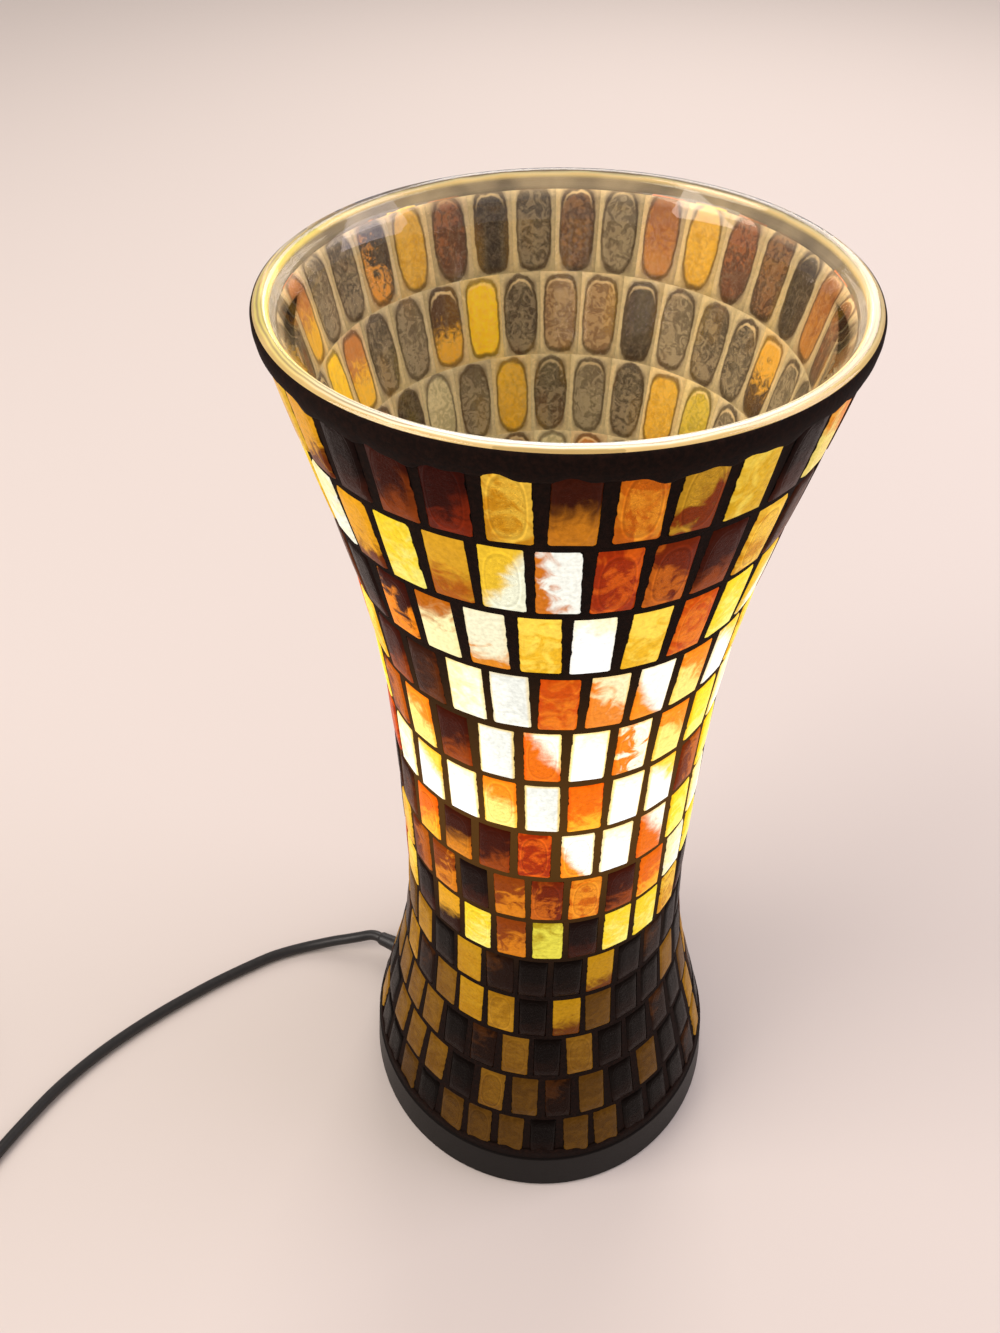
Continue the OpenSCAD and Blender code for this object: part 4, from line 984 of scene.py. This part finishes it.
def glue_and_backs():
    """The view through the wall: adhesive in the joints, and the tiles' colours in the ovals."""
    made, tree, face = material("acrylic adhesive with tile backs")
    streaks, flat, place, chance = tile_streaks(tree, TILE_W, TILE_H, wave=2.6)
    # Trowel marks about 3 mm apart, and bubbles and grit about 1 mm wide
    smear = add(tree, "ShaderNodeTexNoise", {"Vector": place, "Scale": 0.33, "Detail": 4.0,
                                             "Roughness": 0.6})
    specks = add(tree, "ShaderNodeTexNoise", {"Vector": place, "Scale": 0.85, "Detail": 5.0,
                                              "Roughness": 0.7, "Distortion": 0.9})
    wobble = add(tree, "ShaderNodeMath", {0: smear.outputs["Fac"], 1: 0.2, 2: -0.1},
                 operation="MULTIPLY_ADD")
    # Joint: cream where the adhesive is thick, along the middle of the joint
    block = add(tree, "ShaderNodeMath", {0: oval(tree, flat, 0.5, 0.5, 7.0), 1: wobble.outputs[0]},
                operation="ADD")
    thick = add(tree, "ShaderNodeMapRange", {"Value": block.outputs[0], "From Min": 0.94,
                                             "From Max": 1.1})
    joint = add(tree, "ShaderNodeMix", {0: thick.outputs[0], 6: linear("#85755a"),
                                        7: linear("#d0be90")}, data_type="RGBA")
    blotch = add(tree, "ShaderNodeMapRange", {"Value": specks.outputs["Fac"], "From Min": 0.35,
                                              "From Max": 0.7, "To Min": 0.0, "To Max": 0.55})
    joint = add(tree, "ShaderNodeMix", {0: blotch.outputs[0], 6: joint.outputs[2],
                                        7: linear("#8f8064")}, data_type="RGBA")
    # Smear behind the tile: a little of the tile's colour through beige
    veil = add(tree, "ShaderNodeMix", {0: 0.2, 6: joint.outputs[2], 7: streaks}, data_type="RGBA")
    # Oval of clear glue: the tile's own colour, with grey grit over dark glass and a dark rim
    shuffled = add(tree, "ShaderNodeMath", {0: chance, 1: 7.0}, operation="MULTIPLY")
    squarer = add(tree, "ShaderNodeMath", {0: shuffled.outputs[0]}, operation="FRACT")
    form = add(tree, "ShaderNodeMix", {0: squarer.outputs[0], 2: oval(tree, flat, 0.53, 0.54, 2.3),
                                       3: oval(tree, flat, 0.52, 0.52, 4.4)})
    ring = add(tree, "ShaderNodeMath", {0: form.outputs[0], 1: wobble.outputs[0]}, operation="ADD")
    grit = add(tree, "ShaderNodeMapRange", {"Value": specks.outputs["Fac"], "From Min": 0.46,
                                            "From Max": 0.74, "To Max": 0.5})
    own = add(tree, "ShaderNodeMix", {0: grit.outputs[0], 6: streaks, 7: linear("#8f826a")},
              data_type="RGBA")
    own = add(tree, "ShaderNodeMix", {0: grit.outputs[0], 6: own.outputs[2], 7: streaks},
              data_type="RGBA")
    out = add(tree, "ShaderNodeMath", {0: ring.outputs[0], 1: 1 / OVAL_REACH}, operation="MULTIPLY")
    edge = add(tree, "ShaderNodeFloatCurve", {"Value": out.outputs[0]}, stops=[
        (at / OVAL_REACH, dark)
        for at, dark in ((0.0, 0.0), (0.84, 0.0), (0.96, 0.75), (1.03, 0.1), (1.1, 0.0))])
    in_oval = add(tree, "ShaderNodeMapRange", {"Value": ring.outputs[0], "From Min": 0.96,
                                               "From Max": 1.03, "To Min": 1.0, "To Max": 0.0})
    filled = add(tree, "ShaderNodeMix", {0: in_oval.outputs[0], 6: veil.outputs[2],
                                         7: own.outputs[2]}, data_type="RGBA")
    dark_edge = add(tree, "ShaderNodeMix", {0: edge.outputs[0], 6: filled.outputs[2],
                                            7: linear("#3a2a18")}, data_type="RGBA")
    # The glue's shoulder catches the light along the top of the oval
    place_up = add(tree, "ShaderNodeSeparateXYZ", {0: flat})
    high = add(tree, "ShaderNodeMapRange", {"Value": place_up.outputs["Y"], "From Min": 0.25,
                                            "From Max": 0.45})
    shine = add(tree, "ShaderNodeFloatCurve", {"Value": out.outputs[0]}, stops=[
        (at / OVAL_REACH, lit)
        for at, lit in ((0.0, 0.0), (0.8, 0.0), (0.86, 1.0), (0.92, 0.0), (OVAL_REACH, 0.0))])
    shine = add(tree, "ShaderNodeMath", {0: shine.outputs[0], 1: high.outputs[0]},
                operation="MULTIPLY")
    lucky = add(tree, "ShaderNodeMapRange", {"Value": chance, "From Min": 0.5, "To Max": 0.8})
    shine = add(tree, "ShaderNodeMath", {0: shine.outputs[0], 1: lucky.outputs[0]},
                operation="MULTIPLY")
    rimmed = add(tree, "ShaderNodeMix", {0: shine.outputs[0], 6: dark_edge.outputs[2],
                                         7: linear("#e0c894")}, data_type="RGBA")
    tree.links.new(rimmed.outputs[2], face.inputs["Base Color"])
    # Lit by the bulb from below: brighter further down the vase
    at = add(tree, "ShaderNodeTexCoord")
    up = add(tree, "ShaderNodeSeparateXYZ", {0: at.outputs["Object"]})
    low = add(tree, "ShaderNodeMapRange", {"Value": up.outputs["Z"], "From Min": 0.2,
                                           "From Max": 0.345, "To Min": 1.75, "To Max": 0.7})
    light = add(tree, "ShaderNodeVectorMath", {0: rimmed.outputs[2], 3: low.outputs[0]},
                operation="SCALE")
    tree.links.new(light.outputs[0], face.inputs["Emission Color"])
    face.inputs["Emission Strength"].default_value = 0.42
    face.inputs["Roughness"].default_value = 0.6
    bump = add(tree, "ShaderNodeBump", {"Strength": 0.5, "Distance": 0.2 * MM,
                                        "Height": specks.outputs["Fac"]})
    tree.links.new(bump.outputs[0], face.inputs["Normal"])
    return made


bed.data.materials.append(glue_and_backs())
thin = bed.modifiers.new("thickness", "SOLIDIFY")
thin.thickness = BED_T
thin.offset = -1
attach(bed, "lamp")
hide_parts("adhesive_film")
print("bed of glue:", BED_T / MM, "mm thick")

# %% [markdown]
# ## Clear glass of the wall
#
# Soda-lime glass is clear and hardly coloured. The bulb's light runs up inside the wall, as in a
# light guide, and leaves at the polished rim, which shines in drawn lines. Tracing that light
# would take very many samples, so the rim's light is emission that follows its radius and its
# place round the mouth. The wall lets shadow rays pass, because Cycles would otherwise keep the
# studio's light out of the vase.

# %% Clear glass
RIM_INNER = (MOUTH_D / 2 - LIP_T) * MM
RIM_STREAK, RIM_BLOT = 1000 / 90, 1000 / 130  # about 11 mm from streak to streak, and 8 mm a blot


def clear_glass():
    """Soda-lime glass that lets the lamps' shadow rays through. The rim glows: light from the
    bulb runs up inside the wall and leaves at the edge, more yellow on the left side."""
    made, tree, face = material("clear soda-lime glass")
    face.inputs["Roughness"].default_value = 0.03
    face.inputs["IOR"].default_value = 1.5
    at = add(tree, "ShaderNodeTexCoord")
    where = add(tree, "ShaderNodeSeparateXYZ", {0: at.outputs["Object"]})
    lip = add(tree, "ShaderNodeMapRange", {"Value": where.outputs["Z"],
                                           "From Min": (LAMP_H - 1.7) * MM,
                                           "From Max": (LAMP_H - 0.9) * MM})
    # Round the rim: hot white in front, lemon on the left, tan on the right, faint behind
    side = add(tree, "ShaderNodeMapRange", {"Value": where.outputs["X"], "From Min": -0.068,
                                            "From Max": -0.045})
    warmth = add(tree, "ShaderNodeMix", {0: side.outputs[0], 6: linear("#ead84a"),
                                         7: linear("#dec68c")}, data_type="RGBA")
    front = add(tree, "ShaderNodeMapRange", {"Value": where.outputs["Y"], "From Min": -0.07,
                                             "From Max": -0.045, "To Min": 1.0, "To Max": 0.0})
    tone = add(tree, "ShaderNodeMix", {0: front.outputs[0], 6: warmth.outputs[2],
                                       7: linear("#fffaec")}, data_type="RGBA")
    nearer = add(tree, "ShaderNodeMapRange", {"Value": where.outputs["Y"], "From Min": -0.07,
                                              "From Max": 0.045, "To Min": 1.45, "To Max": 0.02})
    # Across the rim: a bright inner edge, then drawn lines of light about 1 mm apart
    flat = add(tree, "ShaderNodeCombineXYZ", {"X": where.outputs["X"], "Y": where.outputs["Y"]})
    radius = add(tree, "ShaderNodeVectorMath", {0: flat.outputs[0]}, operation="LENGTH")
    streak = add(tree, "ShaderNodeTexNoise", {"Vector": at.outputs["Object"],
                                              "Scale": 1000 / RIM_STREAK, "Detail": 2.0})
    drift = add(tree, "ShaderNodeMath", {0: streak.outputs["Fac"], 1: 0.8 * MM,
                                         2: radius.outputs["Value"]}, operation="MULTIPLY_ADD")
    across = add(tree, "ShaderNodeMapRange", {"Value": drift.outputs[0], "From Min": RIM_INNER,
                                              "From Max": RIM_INNER + LIP_T * MM})
    lines = add(tree, "ShaderNodeFloatCurve", {"Value": across.outputs[0]}, stops=[
        (0.0, 0.3), (0.16, 0.3), (0.3, 1.0), (0.42, 0.5), (0.55, 1.0), (0.68, 0.45), (0.8, 0.9),
        (0.97, 0.6), (1.0, 0.6)])
    # Gold lines across the rim's glow: painted light, like the rest of the rim
    gold_rim_light = add(tree, "ShaderNodeFloatCurve", {"Value": across.outputs[0]}, stops=[
        (0.0, 0.7), (0.14, 0.5), (0.24, 0.0), (0.62, 0.0), (0.7, 0.6), (0.8, 0.2), (0.9, 0.8),
        (1.0, 0.9)])
    tone = add(tree, "ShaderNodeMix", {0: gold_rim_light.outputs[0], 6: tone.outputs[2], 7: linear("#d8a848")},
               data_type="RGBA")
    inner = add(tree, "ShaderNodeFloatCurve", {"Value": across.outputs[0]}, stops=[
        (0.0, 0.5), (0.12, 0.9), (0.26, 0.5), (0.36, 0.0), (1.0, 0.0)])
    spread = add(tree, "ShaderNodeMath", {0: lines.outputs[0], 1: nearer.outputs[0],
                                          2: inner.outputs[0]}, operation="MULTIPLY_ADD")
    strength = add(tree, "ShaderNodeMath", {0: spread.outputs[0], 1: lip.outputs[0]},
                   operation="MULTIPLY")
    light = add(tree, "ShaderNodeVectorMath", {0: tone.outputs[2], 3: strength.outputs[0]},
                operation="SCALE")
    # Below the rim the wall shows a band of glue between the first course and the edge, given as painted
    # light: emission on the glass that stands for the glue lit by the bulb
    glue_band_glow = add(tree, "ShaderNodeMapRange", {"Value": where.outputs["Z"], "From Min": (NECK_Z - 2) * MM,
                                            "From Max": NECK_Z * MM, "To Max": 0.85})
    below = add(tree, "ShaderNodeMath", {0: 1.0, 1: lip.outputs[0]}, operation="SUBTRACT")
    glue_band_glow = add(tree, "ShaderNodeMath", {0: glue_band_glow.outputs[0], 1: below.outputs[0]},
               operation="MULTIPLY")
    glue_band_glow = add(tree, "ShaderNodeMath", {0: glue_band_glow.outputs[0], 1: streak.outputs["Fac"]},
               operation="MULTIPLY")
    band = add(tree, "ShaderNodeVectorMath", {0: linear("#a48c66")[:3], 3: glue_band_glow.outputs[0]},
               operation="SCALE")
    light = add(tree, "ShaderNodeVectorMath", {0: light.outputs[0], 1: band.outputs[0]},
                operation="ADD")
    tree.links.new(light.outputs[0], face.inputs["Emission Color"])
    face.inputs["Emission Strength"].default_value = 0.95
    # Dark patches here and there on the rim's outer half, at the back: painted refraction, the dark grout
    # behind the rim seen through the glass
    seen_grout_patches = add(tree, "ShaderNodeTexNoise", {"Vector": at.outputs["Object"],
                                              "Scale": 1000 / RIM_BLOT, "Detail": 3.0})
    smear = add(tree, "ShaderNodeMapRange", {"Value": seen_grout_patches.outputs["Fac"], "From Min": 0.5,
                                             "From Max": 0.56})
    outer = add(tree, "ShaderNodeMapRange", {"Value": across.outputs[0], "From Min": 0.62,
                                             "From Max": 0.7})
    behind = add(tree, "ShaderNodeMapRange", {"Value": where.outputs["Y"], "From Min": 0.0,
                                              "From Max": 0.03})
    for patch_place in (outer, lip, behind):
        smear = add(tree, "ShaderNodeMath", {0: smear.outputs[0], 1: patch_place.outputs[0]},
                    operation="MULTIPLY")
    clear_share = add(tree, "ShaderNodeMath", {0: 1.0, 1: smear.outputs[0]}, operation="SUBTRACT")
    tint = add(tree, "ShaderNodeMix", {0: smear.outputs[0], 6: linear("#fffaf0"),
                                       7: linear("#30241c")}, data_type="RGBA")
    tree.links.new(clear_share.outputs[0], face.inputs["Transmission Weight"])
    tree.links.new(tint.outputs[2], face.inputs["Base Color"])
    face.inputs["Specular IOR Level"].default_value = 0.3
    ray = add(tree, "ShaderNodeLightPath")
    clear = add(tree, "ShaderNodeBsdfTransparent", {"Color": linear("#fffaf0")})
    both = add(tree, "ShaderNodeMixShader", {0: ray.outputs["Is Shadow Ray"], 1: face.outputs[0],
                                             2: clear.outputs[0]})
    tree.links.new(both.outputs[0], tree.nodes["Material Output"].inputs["Surface"])
    return made


vase.data.materials.append(clear_glass())
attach(vase, "lamp")
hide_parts("glass_vase")
print("rim's inner radius:", round(RIM_INNER / MM, 2), "mm")

# %% [markdown]
# ## Grout at the neck and the foot
#
# The tiler ran the grout out by hand at both ends: up over the side of the rim, and down to the
# ring, with an uneven edge that covers the ends of the tiles. Each is a turned band whose free
# edge wanders, which a plain part of the frame can't do.

# %% Grout bands
# The free edge strays as a sum of waves: (waves round the lamp, height in millimetres, shift)
EDGE_WAVES = [(7, 0.5, 0.3), (17, 0.35, 1.1), (33, 0.4, 2.3), (61, 0.25, 0.7)]
BAND_STEPS = 360


def uneven(angle):
    """How far the grout's edge strays at an angle, in millimetres."""
    return sum(size * math.sin(count * angle + shift) for count, size, shift in EDGE_WAVES)


def grout_band(name, profile, free):
    """Turns a band whose free profile points wander up and down."""
    band = turned(name, profile, steps=BAND_STEPS,
                  wander=lambda angle, n: (0, uneven(angle)) if n in free else (0, 0))
    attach(band, "lamp")
    print(name, "faces:", len(band.data.polygons))
    return band


NECK_EDGE, FOOT_EDGE = LAMP_H - 8.2, RING_H + 4.4
MOUTH_R = MOUTH_D / 2
neck_band = grout_band("neck_grout", [
    (MOUTH_R - 0.25, LAMP_H - 0.65), (MOUTH_R - 0.05, LAMP_H - 3),
    (outline(NECK_EDGE) - 1.2, NECK_EDGE + 1.2), (outline(NECK_EDGE) - 0.3, NECK_EDGE),
    (outline(NECK_EDGE + 0.8) + 0.3, NECK_EDGE + 0.8), (MOUTH_R + 0.1, LAMP_H - 5),
    (MOUTH_R + 0.4, LAMP_H - 3), (MOUTH_R + 0.35, LAMP_H - LIP_ROUND), (MOUTH_R + 0.05, LAMP_H - 0.8),
], free=(2, 3, 4))
foot_band = grout_band("foot_grout", [
    (outline(RING_H) - 1, RING_H + 0.05), (outline(RING_H) + 0.45, RING_H + 0.05),
    (outline(FOOT_EDGE - 0.8) + 0.3, FOOT_EDGE - 0.8), (outline(FOOT_EDGE) - 0.2, FOOT_EDGE),
    (outline(FOOT_EDGE) - 1.2, FOOT_EDGE - 1.2),
], free=(2, 3, 4))

# %% [markdown]
# ## Finishes of the frame's own parts
#
# Grout, plastics, rubber, ceramic and metals differ in colour, gloss and grain, but each is one
# base colour with a noise at a real size that varies its tone, roughness and relief. One
# function makes them from those values, with the grain given in millimetres.

# %% One function for plain finishes


def finish(name, tone, fleck, roughness, grain, relief, metal=0.0, spread=0.1, **sockets):
    """A surface with a base tone, flecks of a second one, and relief with a grain in mm."""
    made, tree, face = material(name)
    at = add(tree, "ShaderNodeTexCoord")
    noise = add(tree, "ShaderNodeTexNoise", {"Vector": at.outputs["Object"], "Scale": 1000 / grain,
                                             "Detail": 4.0, "Roughness": 0.6})
    share = add(tree, "ShaderNodeMapRange", {"Value": noise.outputs["Fac"], "From Min": 0.4,
                                             "From Max": 0.75})
    colour = add(tree, "ShaderNodeMix", {0: share.outputs[0], 6: linear(tone), 7: linear(fleck)},
                 data_type="RGBA")
    gloss = add(tree, "ShaderNodeMapRange", {"Value": noise.outputs["Fac"], "To Min": roughness - spread,
                                             "To Max": roughness + spread})
    bump = add(tree, "ShaderNodeBump", {"Strength": 0.5, "Distance": relief * MM,
                                        "Height": noise.outputs["Fac"]})
    tree.links.new(colour.outputs[2], face.inputs["Base Color"])
    tree.links.new(gloss.outputs[0], face.inputs["Roughness"])
    tree.links.new(bump.outputs[0], face.inputs["Normal"])
    face.inputs["Metallic"].default_value = metal
    for socket, value in sockets.items():
        face.inputs[socket.replace("_", " ")].default_value = value
    return made


# Sanded cement grout, wiped with a wet sponge: matt, gritty at 0.5 mm, nearly black
GROUT = finish("sanded cement grout", "#120906", "#24140e", 0.85, 1.2, 0.25,
               Specular_IOR_Level=0.08)
# Moulded ABS with a fine spark-eroded texture, satin
RING = finish("moulded ABS", "#0a0706", "#120c0a", 0.4, 0.8, 0.03, Specular_IOR_Level=0.07)
SWITCH = finish("moulded gloss ABS", "#0d0b0b", "#171413", 0.26, 0.7, 0.015)
COVER = finish("pressed fibreboard", "#231e1b", "#3a312b", 0.75, 1.6, 0.06)
# Extruded PVC flex: drawn lines too fine to see, a soft sheen
FLEX = finish("extruded PVC flex", "#0f0d0d", "#1b1817", 0.42, 2.2, 0.04)
RUBBER = finish("moulded rubber", "#121111", "#1f1d1d", 0.6, 0.9, 0.04)
FELT = finish("felt pad", "#2b2a2a", "#474545", 0.95, 0.6, 0.2)
CERAMIC = finish("glazed porcelain", "#e8e2d4", "#f3eee2", 0.14, 6.0, 0.02, spread=0.05)
BRASS = finish("turned brass", "#b9924a", "#d8b46a", 0.26, 1.0, 0.01, metal=1.0, spread=0.08)
STEEL = finish("zinc-plated steel", "#a8a8a6", "#c4c4c0", 0.3, 1.4, 0.01, metal=1.0, spread=0.08)
ALUMINIUM = finish("pressed aluminium", "#b5b5b4", "#cfcfcd", 0.28, 1.0, 0.01, metal=1.0,
                   spread=0.08)
SOLDER = finish("tin solder", "#8f8f90", "#b0b0b0", 0.4, 1.5, 0.1, metal=1.0)
BLACK_GLASS = finish("black lamp-cap glass", "#0a0908", "#151312", 0.12, 3.0, 0.01, spread=0.04)
BROWN_WIRE = finish("brown PVC insulation", "#4a2412", "#5c3018", 0.4, 1.5, 0.02)
BLUE_WIRE = finish("blue PVC insulation", "#123a86", "#1c4a9c", 0.4, 1.5, 0.02)
TIE = finish("nylon tie", "#0c0c0c", "#181818", 0.5, 1.2, 0.02)
print("plain finishes made, of", len(bpy.data.materials), "materials so far")

# %% [markdown]
# ## Grout between lit tiles
#
# Cement grout lets no light through, but between two lit tiles it takes some of their amber. A
# light of its own beside each joint would be costly, so the grout's own finish gets a faint
# emission that fades above and below the brightest courses.

# %% Grout warmed by lit tiles, in millimetres
WARM_Z, WARM_REACH = 205, 85


def warm_by_tiles(made):
    """Adds the amber that joints take from lit tiles beside them, strongest at height WARM_Z."""
    tree = made.node_tree
    at = add(tree, "ShaderNodeTexCoord")
    where = add(tree, "ShaderNodeSeparateXYZ", {0: at.outputs["Object"]})
    away = add(tree, "ShaderNodeMath", {0: where.outputs["Z"], 1: WARM_Z * MM}, operation="SUBTRACT")
    away = add(tree, "ShaderNodeMath", {0: away.outputs[0]}, operation="ABSOLUTE")
    near = add(tree, "ShaderNodeMapRange", {"Value": away.outputs[0], "From Max": WARM_REACH * MM,
                                            "To Min": 1.0, "To Max": 0.0},
               interpolation_type="SMOOTHSTEP")
    light = add(tree, "ShaderNodeVectorMath", {0: linear("#5e3c10")[:3], 3: near.outputs[0]},
                operation="SCALE")
    face = tree.nodes["Principled BSDF"]
    tree.links.new(light.outputs[0], face.inputs["Emission Color"])
    face.inputs["Emission Strength"].default_value = 0.8


warm_by_tiles(GROUT)
for band in (neck_band, foot_band):
    band.data.materials.append(GROUT)
print("grout warmed from", WARM_Z - WARM_REACH, "to", WARM_Z + WARM_REACH, "mm")

# %% [markdown]
# ## Bulb
#
# The bulb is frosted glass, etched inside, so the filament's light leaves evenly from the whole
# globe. Lighting it as a real source through two layers of glass would be grainy, so the frosted
# surface is given the light, uneven by a few parts in a hundred, and so is the filament.

# %% Bulb


def shining(name, tone, strength):
    """A surface that gives light itself, a little uneven, as frosting makes it."""
    made, tree, face = material(name)
    at = add(tree, "ShaderNodeTexCoord")
    frost = add(tree, "ShaderNodeTexNoise", {"Vector": at.outputs["Object"], "Scale": 90,
                                             "Detail": 2.0})
    level = add(tree, "ShaderNodeMapRange", {"Value": frost.outputs["Fac"], "To Min": 0.92,
                                             "To Max": 1.08})
    light = add(tree, "ShaderNodeVectorMath", {0: linear(tone)[:3], 3: level.outputs[0]},
                operation="SCALE")
    tree.links.new(light.outputs[0], face.inputs["Emission Color"])
    face.inputs["Emission Strength"].default_value = strength
    face.inputs["Base Color"].default_value = linear("#f4efe2")
    face.inputs["Roughness"].default_value = 0.5
    return made


FROSTED = shining("frosted bulb glass", "#ffd98c", 5.0)
TUNGSTEN = shining("coiled tungsten", "#ffb040", 3.0)
LAMP_GLASS = finish("pressed lamp glass", "#cfd4cf", "#e3e6e2", 0.1, 4.0, 0.01, spread=0.04)
print("bulb finishes:", FROSTED.name, "and", TUNGSTEN.name)

# %% [markdown]
# ## Which part has which finish
#
# Every rigid part that stays as it is in the frame gets the finish of what it is made of. A
# table from finish to part names is easier to check than a line for each part.

# %% Finishes onto the frame's parts
FINISH_OF = {
    GROUT: ["grout"],
    RING: ["base_ring"],
    SWITCH: ["switch_base", "switch_cover", "switch_rocker", "plug_body", "holder_skirt"],
    COVER: ["base_cover"],
    FLEX: ["inner_cord", "strain_relief", "plug_boot"],
    RUBBER: ["foot_gasket", "rubber_washer"],
    FELT: ["foot_pads"],
    CERAMIC: ["holder_base", "holder_carrier"],
    BRASS: ["stem_nipple", "stem_sleeve", "vase_nut", "thread_shell", "centre_contact",
            "terminal_screws", "switch_terminals", "rocker_contact", "plug_pins"],
    STEEL: ["cover_screws", "cord_clamp", "clamp_screws", "base_nut", "steel_washers",
            "switch_screws", "rocker_pin"],
    ALUMINIUM: ["bulb_cap"],
    SOLDER: ["bulb_tip"],
    BLACK_GLASS: ["bulb_insulator"],
    BROWN_WIRE: ["wire_live"],
    BLUE_WIRE: ["wire_neutral"],
    FROSTED: ["bulb_glass"],
    TUNGSTEN: ["filament"],
    LAMP_GLASS: ["filament_mount"],
}
for made, names in FINISH_OF.items():
    for name in names:
        for slot in node_of[name].material_slots:
            slot.material = made
print("parts with a finish:", sum(len(names) for names in FINISH_OF.values()))

# %% [markdown]
# ## Tie round the coil
#
# A flat nylon tie holds the coil's turns together. It is a closed band, so it is lofted from a
# rounded rectangle that runs round the bundle's section.

# %% Tie
TIE_ANGLE, BAND_T, BAND_W, CORNER_R = -60, 0.9, 5, 2.5
PLAY, OFF_TABLE, CORNER_STEPS = 0.05, 0.02, 5


def tie_band():
    """The tie as a closed flat band round the six turns, laid where TIE_ANGLE says."""
    turned_in = (180 - TIE_ANGLE) / 360 % 1
    low_r = COIL_OUTER_R - (TURNS_A_LAYER - 1 + turned_in) * CORD_D - LAY
    high_r = COIL_OUTER_R - (1 - turned_in) * CORD_D + LAY
    top = 2 * CORD_D
    shape = bmesh.new()
    rows = []
    for out, lowest in ((PLAY, 0.25), (BAND_T, OFF_TABLE)):
        section = []
        for cx, cz, start in ((high_r - CORNER_R, top - CORNER_R, 0),
                              (low_r + CORNER_R, top - CORNER_R, 90),
                              (low_r + CORNER_R, CORNER_R, 180), (high_r - CORNER_R, CORNER_R, 270)):
            section += arc(cx, cz, CORNER_R + out, start, start + 90, CORNER_STEPS)
        section = [(r, max(z, lowest)) for r, z in section]
        for half in (-BAND_W / 2, BAND_W / 2):
            rows.append([shape.verts.new((r * MM, half * MM, z * MM)) for r, z in section])
    inner_a, inner_b, outer_a, outer_b = rows
    for one, two in ((inner_a, inner_b), (inner_b, outer_b), (outer_b, outer_a), (outer_a, inner_a)):
        for a, b, c, d in zip(one, one[1:] + one[:1], two[1:] + two[:1], two):
            shape.faces.new((a, b, c, d)).smooth = True
    bmesh.ops.recalc_face_normals(shape, faces=shape.faces)
    shape.transform(Matrix.Translation((COIL_AT[0] * MM, COIL_AT[1] * MM, 0))
                    @ Matrix.Rotation(math.radians(TIE_ANGLE), 4, "Z"))
    return into_piece(shape, "coil_strap")


strap = tie_band()
scene.collection.objects.link(strap)
strap.data.materials.append(TIE)
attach(strap, "lamp")
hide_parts("coil_tie")
print("faces in the tie:", len(strap.data.polygons))

# %% [markdown]
# ## Cord joins the frame
#
# The cord gets the finish of PVC flex and goes with the lamp's body. It takes the place of four
# plain solids of the frame.

# %% Cord joins the frame
flex.materials.append(FLEX)
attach(cord, "lamp")
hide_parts("cord_run", "cord_link", "cord_coil", "cord_tail")

# %% [markdown]
# ## End
#
# The script ends by printing that it is done.

# %% End
print("script done")
